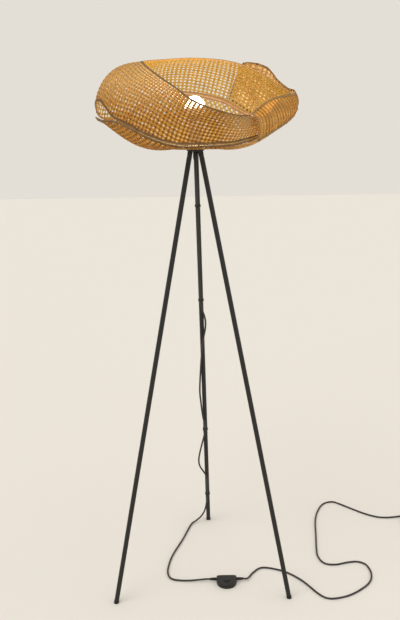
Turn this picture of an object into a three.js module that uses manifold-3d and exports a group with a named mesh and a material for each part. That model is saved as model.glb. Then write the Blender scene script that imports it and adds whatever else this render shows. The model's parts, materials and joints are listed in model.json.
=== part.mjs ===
// A floor lamp: three tube legs under a small disc, a woven rattan shade of three sheets,
// one bulb, and a mains cord with a foot switch, a tied coil and a plug.
// Millimetres, +Z up. The legs meet above the origin of the working frame.
import * as THREE from "three";
import { mergeVertices } from "three/addons/utils/BufferGeometryUtils.js";
import Module from "manifold-3d";

const wasm = await Module();
wasm.setup();

// Stand
const footCircle = 326;
const hubCircle = 17.4;
const hubUnder = 1420;
const legRadius = 7.5;
const legWall = 1.2;
const legDegrees = { left: 212, right: 330.6, back: 85 };
const footFlange = 8;
const footLip = 0.6;
const footPlug = 22;

// Hub and the threaded nipple that holds the stack together
const hubThickness = 14;
const hubRadius = 26;
const hubEdge = 1.5;
const spigotLength = 30;
const grubRadius = 2;
const grubLength = 4;
const grubDrop = 15;
const nippleRadius = 5;
const nippleBore = 3.6;
const nippleDrop = 12;
const nippleRise = 16;
const nutAcrossFlats = 14;
const nutHeight = 6;
const gripRadius = 7;
const gripHeight = 21;
const gripTaper = 2;

// Clearances
const gap = 0.3;
const overrun = 5;

// Shade: its reach from the stand's middle, and its height above the hub
const shadeHalfWidth = 300;
const shadeHalfDepth = 250;
const shadeHeight = 250;
const sheetThickness = 2.4;
const rimRodRadius = 2;
const clampRadius = 28;
const bowlRise = 11;
const bowlSideSag = 43;
const wrapCorner = 12;
const laceRadius = 0.8;
const laceSlack = 0.7;

// Shade carrier and its rivets
const carrierThickness = 2;
const carrierWire = 2;
const eyeletRadius = 5.5;
const rivetShank = 1.8;
const rivetHead = 5;
const rivetHeadHeight = 1.6;
const rivetTail = 3.5;
const rivetTailHeight = 1.2;

// Lampholder
const holderRadius = 19.5;
const holderWall = 2;
const holderFloor = 3;
const capHeight = 24;
const bodyHeight = 42;
const insertWall = 2;
const insertFloor = 4;
const insertFloorRise = 28;
const shellWall = 0.4;
const contactWidth = 6;
const contactThickness = 0.6;

// Bulb: screw cap of 26 mm and a 60 mm round glass
const bulbCapRadius = 13;
const bulbCapWall = 0.8;
const bulbCapHeight = 26;
const bulbCapTaper = 5;
const bulbTipRadius = 4.5;
const bulbTipHeight = 2;
const bulbRadius = 30;
const bulbGlass = 0.9;
const bulbNeckHeight = 44;
const bulbSeat = 1.2;
const bulbArcDegrees = [-52, 78];

// Mains cord, clips, coil and plug
const cordRadius = 3;
const floorLift = 0.05;
const clipShares = { top: 0.88, upper: 0.655, lower: 0.296, foot: 0.0895 };
const clipWidth = 6;
const clipThickness = 1.2;
const clipSlack = 0.6;
const coilRadius = 43;
const coilPitch = 6.6;
const coilLayer = 6.5;
const coilCentre = [812, 283];
const coilStartTurn = 0.25;
const tailReach = 96;
const tieWidth = 5;
const tieThickness = 0.8;
const tieSlack = 0.6;
const plugWidth = 34;
const plugThickness = 13.6;
const plugLength = 34;
const plugEdge = 1.2;
const plugRelief = 24;
const pinRadius = 2;
const pinLength = 19;
const pinSpacing = 18.6;
const pinSeat = 5;

// Foot switch: a D lying on the floor, its straight side along the cord
const switchCentre = [84, -70];
const switchWidth = 68;
const switchFar = 14;
const switchNear = 40;
const switchHeight = 18;
const switchWall = 1.8;
const switchFloor = 3;
const switchEdge = 4;
const cordOffset = 3;
const cordHeight = 9;
const reliefLength = 22;
const reliefRoot = 5;
const reliefTip = 3.8;
const reliefNeck = 3.6;
const reliefFlange = 4.6;
const reliefFlangeWidth = 1.5;
const buttonOffset = -14;
const buttonRadius = 11;
const buttonProud = 2.6;
const buttonTravel = 2.5;
const buttonFlange = 1.8;
const buttonFlangeHeight = 2;
const buttonEdge = 1;
const blockWidth = 20;
const blockDepth = 14;
const blockHeight = 6;
const terminalRadius = 2;
const terminalSpacing = 12;
const springRadius = 4;
const springWire = 0.8;
const screwOffset = [23, -10];
const screwRadius = 1.2;
const screwHead = 2.8;
const screwHeadHeight = 1.2;
const screwLength = 9;
const bossRadius = 3.2;

// Sides of round pieces
const roundSides = 24;
const legSides = 20;
const smallSides = 12;
const eyeletSides = 10;
const wireSides = 6;
const rodSides = 5;
const laceSides = 4;
const laceSteps = 12;
const clipSteps = 16;
const glassCells = 5;
const dropSteps = 40;
const runSteps = 36;
const tailSteps = 4;
const outlineSides = 20;
const cordSides = 8;
const coilSides = 6;
const coilSteps = 24;

const radians = Math.PI / 180;
const hubTop = hubUnder + hubThickness;
const legBore = legRadius - legWall;
const spigotRadius = legBore - gap;
const tilt = Math.atan2(footCircle - hubCircle, hubUnder);
const xAxis = new THREE.Vector3(1, 0, 0);
const yAxis = new THREE.Vector3(0, 1, 0);
const zAxis = new THREE.Vector3(0, 0, 1);
const lamp = new THREE.Group();

// Finishes
const finishes = {
  blackSteel: { color: 0x1b1a19, roughness: 0.45, metalness: 0.6 },
  blackPlastic: { color: 0x171615, roughness: 0.5, metalness: 0 },
  blackRubber: { color: 0x141414, roughness: 0.85, metalness: 0 },
  zincSteel: { color: 0xb9bcc0, roughness: 0.35, metalness: 1 },
  nickelBrass: { color: 0xc9c3b4, roughness: 0.3, metalness: 1 },
  brass: { color: 0xc2a15a, roughness: 0.35, metalness: 1 },
  rattan: { color: 0xb98448, roughness: 0.7, metalness: 0 },
  rattanRod: { color: 0x5d3d20, roughness: 0.65, metalness: 0 },
  rattanLace: { color: 0x6b4826, roughness: 0.75, metalness: 0 },
  whitePlastic: { color: 0xe9e6df, roughness: 0.5, metalness: 0 },
  opalGlass: { color: 0xfff1d8, roughness: 0.3, metalness: 0 },
};

function place(name, geometry, finish, parent = lamp) {
  const mesh = new THREE.Mesh(geometry, new THREE.MeshStandardMaterial(finishes[finish]));
  mesh.name = name;
  parent.add(mesh);
  return mesh;
}

// Six times the signed volume of a closed triangle mesh
function signedVolume(geometry) {
  const position = geometry.attributes.position;
  const index = geometry.index;
  const corners = [new THREE.Vector3(), new THREE.Vector3(), new THREE.Vector3()];
  let sum = 0;
  for (let i = 0; i < index.count; i += 3) {
    corners.forEach((corner, k) => corner.fromBufferAttribute(position, index.getX(i + k)));
    sum += corners[0].dot(corners[1].cross(corners[2]));
  }
  return sum;
}

// Shares vertices, drops triangles without area and turns all faces outwards
function tidy(geometry) {
  const bare = geometry.clone();
  Object.keys(bare.attributes).forEach((key) => key !== "position" && bare.deleteAttribute(key));
  const merged = mergeVertices(bare, 1e-3);
  const kept = [];
  const index = merged.index;
  for (let i = 0; i < index.count; i += 3) {
    const [a, b, c] = [index.getX(i), index.getX(i + 1), index.getX(i + 2)];
    if (a !== b && b !== c && c !== a) {
      kept.push(a, b, c);
    }
  }
  merged.setIndex(kept);
  if (signedVolume(merged) < 0) {
    for (let i = 0; i < kept.length; i += 3) {
      [kept[i], kept[i + 1]] = [kept[i + 1], kept[i]];
    }
    merged.setIndex(kept);
  }
  merged.computeVertexNormals();
  return merged;
}

function solid(geometry) {
  const ready = tidy(geometry);
  const vertProperties = new Float32Array(ready.attributes.position.array);
  const triVerts = new Uint32Array(ready.index.array);
  return new wasm.Manifold(new wasm.Mesh({ numProp: 3, vertProperties, triVerts }));
}

function fromSolid(body) {
  const mesh = body.getMesh();
  const geometry = new THREE.BufferGeometry();
  geometry.setAttribute("position", new THREE.BufferAttribute(mesh.vertProperties, 3));
  geometry.setIndex([...mesh.triVerts]);
  return tidy(geometry);
}

// Adds and removes whole solids from a first one
function carve(base, { add = [], cut = [] }) {
  let body = solid(base);
  for (const piece of add) {
    body = body.add(solid(piece));
  }
  for (const piece of cut) {
    body = body.subtract(solid(piece));
  }
  return fromSolid(body);
}

// A body of revolution about Z from [radius, height] points
function turned(profile, sides = roundSides) {
  const points = profile.map(([radius, height]) => new THREE.Vector2(radius, height));
  const geometry = new THREE.LatheGeometry(points, sides);
  geometry.rotateX(Math.PI / 2);
  return tidy(geometry);
}

// A ring-shaped body of revolution: its profile closes on itself
function turnedRing(profile, sides = roundSides) {
  return turned([...profile, profile[0]], sides);
}

function pin(radius, low, high, sides = smallSides) {
  return turned([[0, low], [radius, low], [radius, high], [0, high]], sides);
}

// A row of loops with equally many points, joined in turn into one closed body
function loft(loops, closed) {
  const count = loops[0].length;
  const values = loops.flat().flatMap((point) => [point.x, point.y, point.z]);
  const faces = [];
  const rows = closed ? loops.length : loops.length - 1;
  for (let i = 0; i < rows; i += 1) {
    const next = (i + 1) % loops.length;
    for (let k = 0; k < count; k += 1) {
      const a = i * count + k;
      const b = i * count + ((k + 1) % count);
      const c = next * count + ((k + 1) % count);
      const d = next * count + k;
      faces.push(a, b, c, a, c, d);
    }
  }
  if (!closed) {
    for (const [row, turn] of [[0, 1], [loops.length - 1, -1]]) {
      const middle = new THREE.Vector3();
      loops[row].forEach((point) => middle.addScaledVector(point, 1 / count));
      const hub = values.length / 3;
      values.push(middle.x, middle.y, middle.z);
      for (let k = 0; k < count; k += 1) {
        const a = row * count + k;
        const b = row * count + ((k + 1) % count);
        faces.push(...(turn > 0 ? [hub, b, a] : [hub, a, b]));
      }
    }
  }
  const geometry = new THREE.BufferGeometry();
  geometry.setAttribute("position", new THREE.Float32BufferAttribute(values, 3));
  geometry.setIndex(faces);
  return tidy(geometry);
}

// A section carried along points; `across` gives the section's first direction at each point
function sweep(points, across, section, closed) {
  const last = points.length - 1;
  const loops = points.map((point, i) => {
    const before = points[closed ? (i + last) % points.length : Math.max(i - 1, 0)];
    const after = points[closed ? (i + 1) % points.length : Math.min(i + 1, last)];
    const along = after.clone().sub(before).normalize();
    const first = across[i].clone().addScaledVector(along, -across[i].dot(along)).normalize();
    const second = along.clone().cross(first);
    return section.map(([u, v]) => point.clone().addScaledVector(first, u).addScaledVector(second, v));
  });
  return loft(loops, closed);
}

function circle(radius, sides) {
  return Array.from({ length: sides }, (_, k) => {
    const angle = ((k + 0.5) / sides) * 2 * Math.PI;
    return [radius * Math.cos(angle), radius * Math.sin(angle)];
  });
}

function strip(thickness, width) {
  const [t, w] = [thickness / 2, width / 2];
  return [[t, w], [-t, w], [-t, -w], [t, -w]];
}

// A loop pulled tight round circles [u, v, radius] that lie in the plane through `origin`
function loopRound(circles, origin, uAxis, vAxis, lift, section, steps = laceSteps) {
  const points = [];
  const across = [];
  let held = -1;
  for (let k = 0; k < steps; k += 1) {
    const angle = (k / steps) * 2 * Math.PI;
    const out = [Math.cos(angle), Math.sin(angle)];
    const reach = circles.map(([u, v, r]) => u * out[0] + v * out[1] + r);
    const best = reach.indexOf(Math.max(...reach));
    const picks = held >= 0 && held !== best ? [held, best] : [best];
    for (const pick of picks) {
      const [u, v, r] = circles[pick];
      const [pu, pv] = [u + (r + lift) * out[0], v + (r + lift) * out[1]];
      points.push(origin.clone().addScaledVector(uAxis, pu).addScaledVector(vAxis, pv));
      across.push(uAxis.clone().multiplyScalar(out[0]).addScaledVector(vAxis, out[1]));
    }
    held = best;
  }
  return sweep(points, across, section, true);
}

function polar(radius, angle, height = 0) {
  return new THREE.Vector3(radius * Math.cos(angle), radius * Math.sin(angle), height);
}

// Legs: each in a frame that stands on its foot point and leans to the apex
const legFrames = {};
for (const [side, degrees] of Object.entries(legDegrees)) {
  const turn = new THREE.Group();
  turn.rotation.z = degrees * radians;
  lamp.add(turn);
  const frame = new THREE.Group();
  frame.position.set(footCircle, 0, 0);
  frame.rotation.y = -tilt;
  turn.add(frame);
  frame.updateWorldMatrix(true, false);
  legFrames[side] = frame;
}

// Shears the end ring of a leg piece at `end` so that it lies level
function levelEnd(geometry, end) {
  const position = geometry.attributes.position;
  for (let i = 0; i < position.count; i += 1) {
    if (Math.abs(position.getZ(i) - end) < gap) {
      position.setZ(i, position.getZ(i) - position.getX(i) * Math.tan(tilt));
    }
  }
  return tidy(geometry);
}

const legTop = (hubUnder - gap) / Math.cos(tilt);
const grubAlong = legTop - grubDrop;

function grubHole(radius, from, to) {
  const hole = pin(radius, from, to);
  hole.rotateY(Math.PI / 2);
  hole.translate(0, 0, grubAlong);
  return hole;
}

for (const [side, frame] of Object.entries(legFrames)) {
  const tube = turnedRing([
    [legBore, footFlange + gap],
    [legRadius, footFlange + gap],
    [legRadius, legTop],
    [legBore, legTop],
  ], legSides);
  const cut = [grubHole(grubRadius + gap, 0, legRadius + overrun)];
  place(`leg_${side}`, carve(levelEnd(tube, legTop), { cut }), "blackSteel", frame);

  const footRadius = legRadius + footLip;
  const foot = turned([
    [0, 0],
    [footRadius, 0],
    [footRadius, footFlange],
    [spigotRadius, footFlange],
    [spigotRadius, footFlange + footPlug],
    [0, footFlange + footPlug],
  ], legSides);
  place(`foot_${side}`, levelEnd(foot, 0), "blackRubber", frame);

  const grub = pin(grubRadius, legRadius - gap - grubLength, legRadius - gap);
  grub.rotateY(Math.PI / 2);
  grub.translate(0, 0, grubAlong);
  place(`leg_screw_${side}`, grub, "zincSteel", frame);
}

// Hub: a disc with three slanted spigots that the legs slip over
function makeHub() {
  const disc = turned([
    [0, hubUnder],
    [hubRadius - hubEdge, hubUnder],
    [hubRadius, hubUnder + hubEdge],
    [hubRadius, hubTop - hubEdge],
    [hubRadius - hubEdge, hubTop],
    [0, hubTop],
  ]);
  const add = [];
  const cut = [pin(nippleRadius + gap, hubUnder - overrun, hubTop + overrun, roundSides)];
  for (const frame of Object.values(legFrames)) {
    const spigot = pin(spigotRadius, legTop - spigotLength, legTop + hubThickness / 2, legSides);
    add.push(spigot.applyMatrix4(frame.matrixWorld));
    const seat = legRadius - gap - grubLength;
    cut.push(grubHole(grubRadius + gap, seat - gap, legRadius).applyMatrix4(frame.matrixWorld));
  }
  return carve(disc, { add, cut });
}
place("hub", makeHub(), "blackSteel");

// Nipple, lock nut and cord grip
const nippleBottom = hubUnder - nippleDrop;
const nippleTop = hubTop + nippleRise;
place("nipple", turnedRing([
  [nippleBore, nippleBottom],
  [nippleRadius, nippleBottom],
  [nippleRadius, nippleTop],
  [nippleBore, nippleTop],
], smallSides), "zincSteel");

const nutTop = hubUnder - gap;
const nutRadius = nutAcrossFlats / Math.sqrt(3);
const nutBlank = pin(nutRadius, nutTop - nutHeight, nutTop, 6);
const nutBore = pin(nippleRadius + gap, nutTop - nutHeight - overrun, nutTop + overrun, roundSides);
place("lock_nut", carve(nutBlank, { cut: [nutBore] }), "zincSteel");

const gripTop = nutTop - nutHeight - gap;
const gripBottom = gripTop - gripHeight;
const gripBore = cordRadius + gap;
place("cord_grip", turnedRing([
  [gripBore, gripBottom],
  [gripRadius - gripTaper, gripBottom],
  [gripRadius, gripBottom + gripHeight / 3],
  [gripRadius, gripTop],
  [nippleRadius + gap, gripTop],
  [nippleRadius + gap, nippleBottom - gap],
  [gripBore, nippleBottom - gap],
], smallSides), "blackPlastic");

place("inner_cord", pin(cordRadius, gripBottom, nippleTop + gap), "blackPlastic");

// Shade outline: the bowl's rim and the band's top edge, station by station round the lamp,
// as shares [x, y, z] of the shade's reach, depth and height above the hub
const rimShares = [
  [0.925, -0.08, 0.3], [0.895, 0.46, 0.28], [0.59, 0.82, 0.295], [0.29, 0.96, 0.475],
  [-0.095, 1.02, 0.57], [-0.425, 0.92, 0.525], [-0.725, 0.54, 0.305], [-0.915, 0.12, 0.29],
  [-0.945, -0.14, 0.35], [-0.865, -0.38, 0.325], [-0.755, -0.58, 0.335], [-0.605, -0.76, 0.275],
  [-0.4, -0.9, 0.16], [-0.17, -0.96, 0.08], [0.09, -0.96, 0.075], [0.38, -0.86, 0.09],
  [0.7, -0.54, 0.18],
];
const topShares = [
  [0.92, 0, 0.58], [0.845, 0.28, 0.66], [0.655, 0.46, 0.825], [0.37, 0.54, 0.95],
  [0.005, 0.54, 0.995], [-0.3, 0.42, 0.98], [-0.44, 0.22, 0.965], [-0.49, 0.06, 0.955],
  [-0.485, -0.06, 0.95], [-0.455, -0.18, 0.91], [-0.39, -0.3, 0.85], [-0.305, -0.4, 0.775],
  [-0.165, -0.52, 0.665], [-0.005, -0.58, 0.525], [0.265, -0.62, 0.405], [0.515, -0.56, 0.365],
  [0.735, -0.3, 0.505],
];
// How far the band's lower edge stands off the rim, and how far its middle swells outwards
const liftShares = [0, 0, 0, 0, 0, 0, 0, 0.017, 0.128, 0.184, 0.022, 0, 0, 0, 0, 0, 0];
const bandSwellShares = [
  0.032, 0.048, 0.08, 0.096, 0.104, 0.104, 0.112, 0.128, 0.144,
  0.152, 0.136, 0.12, 0.104, 0.088, 0.08, 0.056, 0.04,
];
// The open wrap outside the band, from its front end to its back end
const wrapLowShares = [
  [0.55, -0.85, 0.105], [0.8, -0.42, 0.23], [0.95, -0.1, 0.33], [1.01, 0.18, 0.42],
  [1.01, 0.42, 0.365], [0.945, 0.66, 0.3], [0.77, 0.86, 0.295], [0.565, 0.98, 0.355],
  [0.44, 1.02, 0.44], [0.365, 1.02, 0.505],
];
const wrapHighShares = [
  [0.505, -0.67, 0.375], [0.695, -0.4, 0.52], [0.875, -0.16, 0.565], [0.97, 0.04, 0.58],
  [0.985, 0.32, 0.615], [0.945, 0.52, 0.63], [0.845, 0.68, 0.74], [0.76, 0.76, 0.875],
  [0.625, 0.76, 0.935], [0.5, 0.71, 0.94],
];
const wrapSwellShares = [0.088, 0.056, 0.04, 0.024, 0.024, 0.032, 0.04, 0.048, 0.048, 0.048];

function shadePoint([x, y, z]) {
  return new THREE.Vector3(x * shadeHalfWidth, y * shadeHalfDepth, hubTop + z * shadeHeight);
}

// A sheet between a lower and an upper edge whose middle swells outwards
class WovenSheet {
  constructor(low, high, swells, closed) {
    const curve = (points) => new THREE.CatmullRomCurve3(points, closed, "catmullrom", 0.5);
    const count = low.length;
    const centres = low.map((point, k) => point.clone().add(high[k]).multiplyScalar(0.5));
    const middle = centres.map((centre, k) => {
      const next = centres[closed ? (k + 1) % count : Math.min(k + 1, count - 1)];
      const before = centres[closed ? (k + count - 1) % count : Math.max(k - 1, 0)];
      const out = next.clone().sub(before).cross(high[k].clone().sub(low[k])).normalize();
      if (out.x * centre.x + out.y * centre.y < 0) {
        out.negate();
      }
      return centre.clone().addScaledVector(out, swells[k]);
    });
    this.closed = closed;
    this.low = curve(low);
    this.high = curve(high);
    this.middle = curve(middle);
    this.length = this.middle.getLength();
  }

  // The three edge points at a share of the middle line's length
  ribs(share) {
    const t = this.middle.getUtoTmapping(share);
    const [low, middle, high] = [this.low, this.middle, this.high].map((c) => c.getPoint(t));
    const handle = middle.clone().multiplyScalar(2).addScaledVector(low, -0.5).addScaledVector(high, -0.5);
    return new THREE.QuadraticBezierCurve3(low, handle, high);
  }

  point(share, height) {
    return this.ribs(share).getPoint(height);
  }

  // The way along the sheet at one height
  edgeRun(share, height) {
    const step = 1 / 2000;
    const held = (value) => (this.closed ? (value + 1) % 1 : THREE.MathUtils.clamp(value, 0, 1));
    return this.point(held(share + step), height).sub(this.point(held(share - step), height));
  }

  out(share, height) {
    const across = this.ribs(share).getTangent(height);
    const normal = this.edgeRun(share, height).cross(across).normalize();
    const here = this.point(share, height);
    return normal.x * here.x + normal.y * here.y < 0 ? normal.negate() : normal;
  }
}

// How much of a rib, from its end at `from`, keeps `distance` from an edge that runs along `edge`
function insetShare(rib, from, edge, distance) {
  const step = 0.01;
  const inside = rib.getPoint(Math.abs(from - step)).sub(rib.getPoint(from));
  const direction = edge.clone().normalize();
  inside.addScaledVector(direction, -inside.dot(direction));
  return (distance * step) / inside.length();
}

// The loop of points round a sheet's thickness along one rib
function ribLoop(sheet, share, heights, thickness) {
  const side = (list, turn) => list.map((height) => {
    const offset = (turn * thickness) / 2;
    return sheet.point(share, height).addScaledVector(sheet.out(share, height), offset);
  });
  return [...side(heights, 1), ...side([...heights].reverse(), -1)];
}

// A sheet from its rib loops; the cells that `isOpen` names stay open, with walls round them
function latticeSheet(loops, closed, isOpen) {
  const count = loops[0].length;
  const rows = count / 2 - 1;
  const columns = closed ? loops.length : loops.length - 1;
  const corner = (i, k, back) => (i % loops.length) * count + (back ? count - 1 - k : k);
  const filled = (i, k) => {
    const column = closed ? (i + columns) % columns : i;
    return column >= 0 && column < columns && k >= 0 && k < rows && !isOpen(column, k);
  };
  const faces = [];
  const quad = (a, b, c, d) => faces.push(a, b, c, a, c, d);
  for (let i = 0; i < columns; i += 1) {
    for (let k = 0; k < rows; k += 1) {
      if (filled(i, k)) {
        const ring = [[i, k], [i, k + 1], [i + 1, k + 1], [i + 1, k]];
        const beside = [[i - 1, k], [i, k + 1], [i + 1, k], [i, k - 1]];
        quad(...ring.map(([a, b]) => corner(a, b, false)));
        quad(...ring.map(([a, b]) => corner(a, b, true)).reverse());
        ring.forEach(([a, b], side) => {
          if (!filled(...beside[side])) {
            const [c, d] = ring[(side + 1) % ring.length];
            quad(corner(c, d, false), corner(a, b, false), corner(a, b, true), corner(c, d, true));
          }
        });
      }
    }
  }
  const values = loops.flat().flatMap((point) => [point.x, point.y, point.z]);
  const geometry = new THREE.BufferGeometry();
  geometry.setAttribute("position", new THREE.Float32BufferAttribute(values, 3));
  geometry.setIndex(faces);
  return tidy(geometry);
}

// The weave's holes as a plain grid: every second cell of every second row
function isGridHole(column, row) {
  return column % 2 === 1 && row % 2 === 1;
}

function spread(from, to, cells) {
  return Array.from({ length: cells + 1 }, (_, k) => from + ((to - from) * k) / cells);
}

const loopCells = 44;
const bandCells = 5;
const edgeInset = rimRodRadius + gap;
const rodStack = 2 * rimRodRadius + 2 * gap;

// The band's lower rod lies on the bowl's rim rod, which it clears square to the slope
const rimPoints = rimShares.map(shadePoint);
const bandLow = rimPoints.map((point, k) => {
  const next = rimPoints[(k + 1) % rimPoints.length];
  const before = rimPoints[(k + rimPoints.length - 1) % rimPoints.length];
  const slope = next.clone().sub(before).normalize();
  const level = Math.sqrt(1 - slope.z ** 2);
  return point.clone().addScaledVector(zAxis, rodStack / level + liftShares[k] * shadeHeight);
});
const band = new WovenSheet(
  bandLow,
  topShares.map(shadePoint),
  bandSwellShares.map((share) => share * shadeHeight),
  true,
);
const wrap = new WovenSheet(
  wrapLowShares.map(shadePoint),
  wrapHighShares.map(shadePoint),
  wrapSwellShares.map((share) => share * shadeHeight),
  false,
);
const loopShares = Array.from({ length: loopCells }, (_, k) => k / loopCells);

function makeBand() {
  const loops = loopShares.map((share) => {
    const rib = band.ribs(share);
    const low = insetShare(rib, 0, band.edgeRun(share, 0), edgeInset);
    const high = insetShare(rib, 1, band.edgeRun(share, 1), edgeInset);
    return ribLoop(band, share, spread(low, 1 - high, bandCells), sheetThickness);
  });
  return latticeSheet(loops, true, isGridHole);
}

function rodRound(points, across) {
  return sweep(points, across, circle(rimRodRadius, rodSides), true);
}

// The bowl: from the clamped middle a belly curve runs out to the rim
const clampHeight = hubTop + gap + sheetThickness / 2;
const bowlCells = 6;
// Where the handles of the bowl's ribs lie, at the lamp's sides, its front and its rear
const bowlRibShares = {
  belly: 0.46,
  side: { reach: 0.59, rise: 0.25 },
  front: { reach: 0.97, rise: -0.17 },
  rear: { reach: 1, rise: 0.3 },
};
const bowlRim = new THREE.CatmullRomCurve3(rimPoints, true, "catmullrom", 0.5);
const rimLoop = loopShares.map((share) => bowlRim.getPoint(band.middle.getUtoTmapping(share)));

function bowlRib(rim) {
  const angle = Math.atan2(rim.y, rim.x);
  const reach = Math.hypot(rim.x, rim.y);
  const sag = bowlSideSag * Math.cos(angle) ** 2 - bowlRise;
  const rise = rim.z - clampHeight;
  const { belly, side, front, rear } = bowlRibShares;
  const end = rim.y > 0 ? rear : front;
  const turned = Math.abs(Math.sin(angle));
  const shoulderShare = THREE.MathUtils.lerp(side.reach, end.reach, turned);
  const riseShare = THREE.MathUtils.lerp(side.rise, end.rise, turned);
  return new THREE.CubicBezierCurve3(
    polar(clampRadius, angle, clampHeight),
    polar(THREE.MathUtils.lerp(clampRadius, reach, belly), angle, clampHeight - sag),
    polar(reach * shoulderShare, angle, clampHeight + rise * riseShare),
    rim,
  );
}

// Mid-surface points of the bowl along one rib, from the clamped hole to the rim rod
function bowlLine(rim, at) {
  const rib = bowlRib(rim);
  const run = rimLoop[(at + 1) % loopCells].clone().sub(rimLoop[(at + loopCells - 1) % loopCells]);
  const end = 1 - insetShare(rib, 1, run, edgeInset);
  const angle = Math.atan2(rim.y, rim.x);
  const hole = polar(nippleRadius + sheetThickness, angle, clampHeight);
  return [hole, ...spread(0, end, bowlCells).map((t) => rib.getPoint(t))];
}

const bowlLines = rimLoop.map(bowlLine);

function bowlOut(line, k) {
  const before = line[Math.max(k - 1, 0)];
  const after = line[Math.min(k + 1, line.length - 1)];
  const along = after.clone().sub(before);
  const angle = Math.atan2(line[k].y, line[k].x);
  const sideways = polar(1, angle + Math.PI / 2);
  return sideways.cross(along).normalize();
}

function makeBowl(solidColumns, cut) {
  const loops = bowlLines.map((line) => {
    const side = (turn) => line.map((point, k) => {
      return point.clone().addScaledVector(bowlOut(line, k), (turn * sheetThickness) / 2);
    });
    return [...side(1), ...side(-1).reverse()];
  });
  const isOpen = (column, row) => row > 1 && isGridHole(column, row) && !solidColumns.includes(column);
  return carve(latticeSheet(loops, true, isOpen), { cut });
}

// How far a step along the wrap's middle line takes a rib from its end rib, at the least
function endSpread(end) {
  const step = 0.005;
  const inner = Math.abs(end - step);
  const gains = spread(0, 1, bandCells).map((height) => {
    const across = wrap.ribs(end).getTangent(height);
    const move = wrap.point(inner, height).sub(wrap.point(end, height));
    return move.addScaledVector(across, -move.dot(across)).length();
  });
  return Math.min(...gains) / (step * wrap.length);
}
const frontSpread = endSpread(0);
const backSpread = endSpread(1);
const cornerDegrees = [0, 30, 60];
const wrapCells = 18;

// The wrap's edge rod turns its four corners on an arc; the sheet follows it inside
function wrapColumns(inset) {
  const radius = wrapCorner - inset;
  const first = inset / frontSpread;
  const last = wrap.length - inset / backSpread;
  const corner = cornerDegrees.map((degrees) => radius * (1 - Math.cos(degrees * radians)));
  const places = [
    ...corner.map((into) => first + into),
    ...spread(first + radius, last - radius, wrapCells),
    ...corner.map((into) => last - into).reverse(),
  ];
  return places.map((along) => {
    const left = radius - Math.min(along - first, last - along, radius);
    const share = along / wrap.length;
    const rib = wrap.ribs(share);
    const cut = inset + radius - Math.sqrt(Math.max(radius * radius - left * left, 0));
    const low = insetShare(rib, 0, wrap.edgeRun(share, 0), cut);
    const high = 1 - insetShare(rib, 1, wrap.edgeRun(share, 1), cut);
    return { share, low, high };
  });
}

function makeWrap() {
  const loops = wrapColumns(edgeInset).map(({ share, low, high }) => {
    return ribLoop(wrap, share, spread(low, high, bandCells), sheetThickness);
  });
  const isOpen = (column, row) => {
    const cell = column - cornerDegrees.length;
    return cell >= 0 && cell < wrapCells - 1 && isGridHole(cell, row);
  };
  return latticeSheet(loops, false, isOpen);
}

const wrapEdge = (() => {
  const columns = wrapColumns(0);
  const low = columns.map((column) => [column.share, column.low]);
  const high = columns.map((column) => [column.share, column.high]).reverse();
  const upright = ([share, from], [, to]) => {
    return spread(from, to, bandCells).slice(1, -1).map((height) => [share, height]);
  };
  const places = [...low, ...upright(low.at(-1), high[0]), ...high, ...upright(high.at(-1), low[0])];
  return {
    points: places.map(([share, height]) => wrap.point(share, height)),
    across: places.map(([share, height]) => wrap.out(share, height)),
    lowCount: low.length,
  };
})();

// Where a closed row of points crosses the plane square to `normal`, nearest to `origin`:
// the offset from the origin, and how much wider the slanted rod is in that plane
function crossing(points, origin, normal) {
  let best = null;
  points.forEach((point, k) => {
    const next = points[(k + 1) % points.length];
    const here = point.clone().sub(origin).dot(normal);
    const there = next.clone().sub(origin).dot(normal);
    if (here * there <= 0 && here !== there) {
      const offset = point.clone().lerp(next, here / (here - there)).sub(origin);
      const slant = Math.abs(next.clone().sub(point).normalize().dot(normal));
      if (!best || offset.length() < best.offset.length()) {
        best = { offset, slant };
      }
    }
  });
  return best;
}

const bandLowLoop = loopShares.map((share) => band.point(share, 0));
const bandHighLoop = loopShares.map((share) => band.point(share, 1));

// A lace in the plane square to a rod at `at`, round every rod in `rods`
function makeLace(at, along, rods, radius) {
  const normal = along.clone().normalize();
  const vAxis = zAxis.clone().addScaledVector(normal, -normal.z).normalize();
  const uAxis = vAxis.clone().cross(normal);
  const circles = rods.map((points) => {
    const { offset, slant } = crossing(points, at, normal);
    return [offset.dot(uAxis), offset.dot(vAxis), rimRodRadius / slant + laceSlack];
  });
  return loopRound(circles, at, uAxis, vAxis, laceRadius, circle(radius, laceSides));
}

// Seam laces bind the band's lower rod to the bowl's rim rod, at shares of the loop
const seamLaceShares = { front: 0.79, left: 0.655, back: 0.33 };
// Wrap ties bind the wrap's lower edge to both, at shares of the wrap's length
const wrapTieShares = { front: 0.07, right: 0.4, back: 0.93 };

const laces = [];
for (const [side, share] of Object.entries(seamLaceShares)) {
  const k = Math.round(share * loopCells);
  const at = bandLowLoop[k].clone().lerp(bandLowLoop[k + 1], 0.5);
  const along = bandLowLoop[k + 1].clone().sub(bandLowLoop[k]);
  laces.push({ name: `seam_lace_${side}`, at, along, rods: [bandLowLoop, rimLoop] });
}
for (const [side, share] of Object.entries(wrapTieShares)) {
  const k = Math.round(share * (wrapEdge.lowCount - 1));
  const at = wrapEdge.points[k].clone().lerp(wrapEdge.points[k + 1], 0.5);
  const along = wrapEdge.points[k + 1].clone().sub(wrapEdge.points[k]);
  laces.push({ name: `wrap_tie_${side}`, at, along, rods: [wrapEdge.points, bandLowLoop, rimLoop] });
}
const laceCutters = laces.map((lace) => makeLace(lace.at, lace.along, lace.rods, laceRadius + gap));

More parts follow.
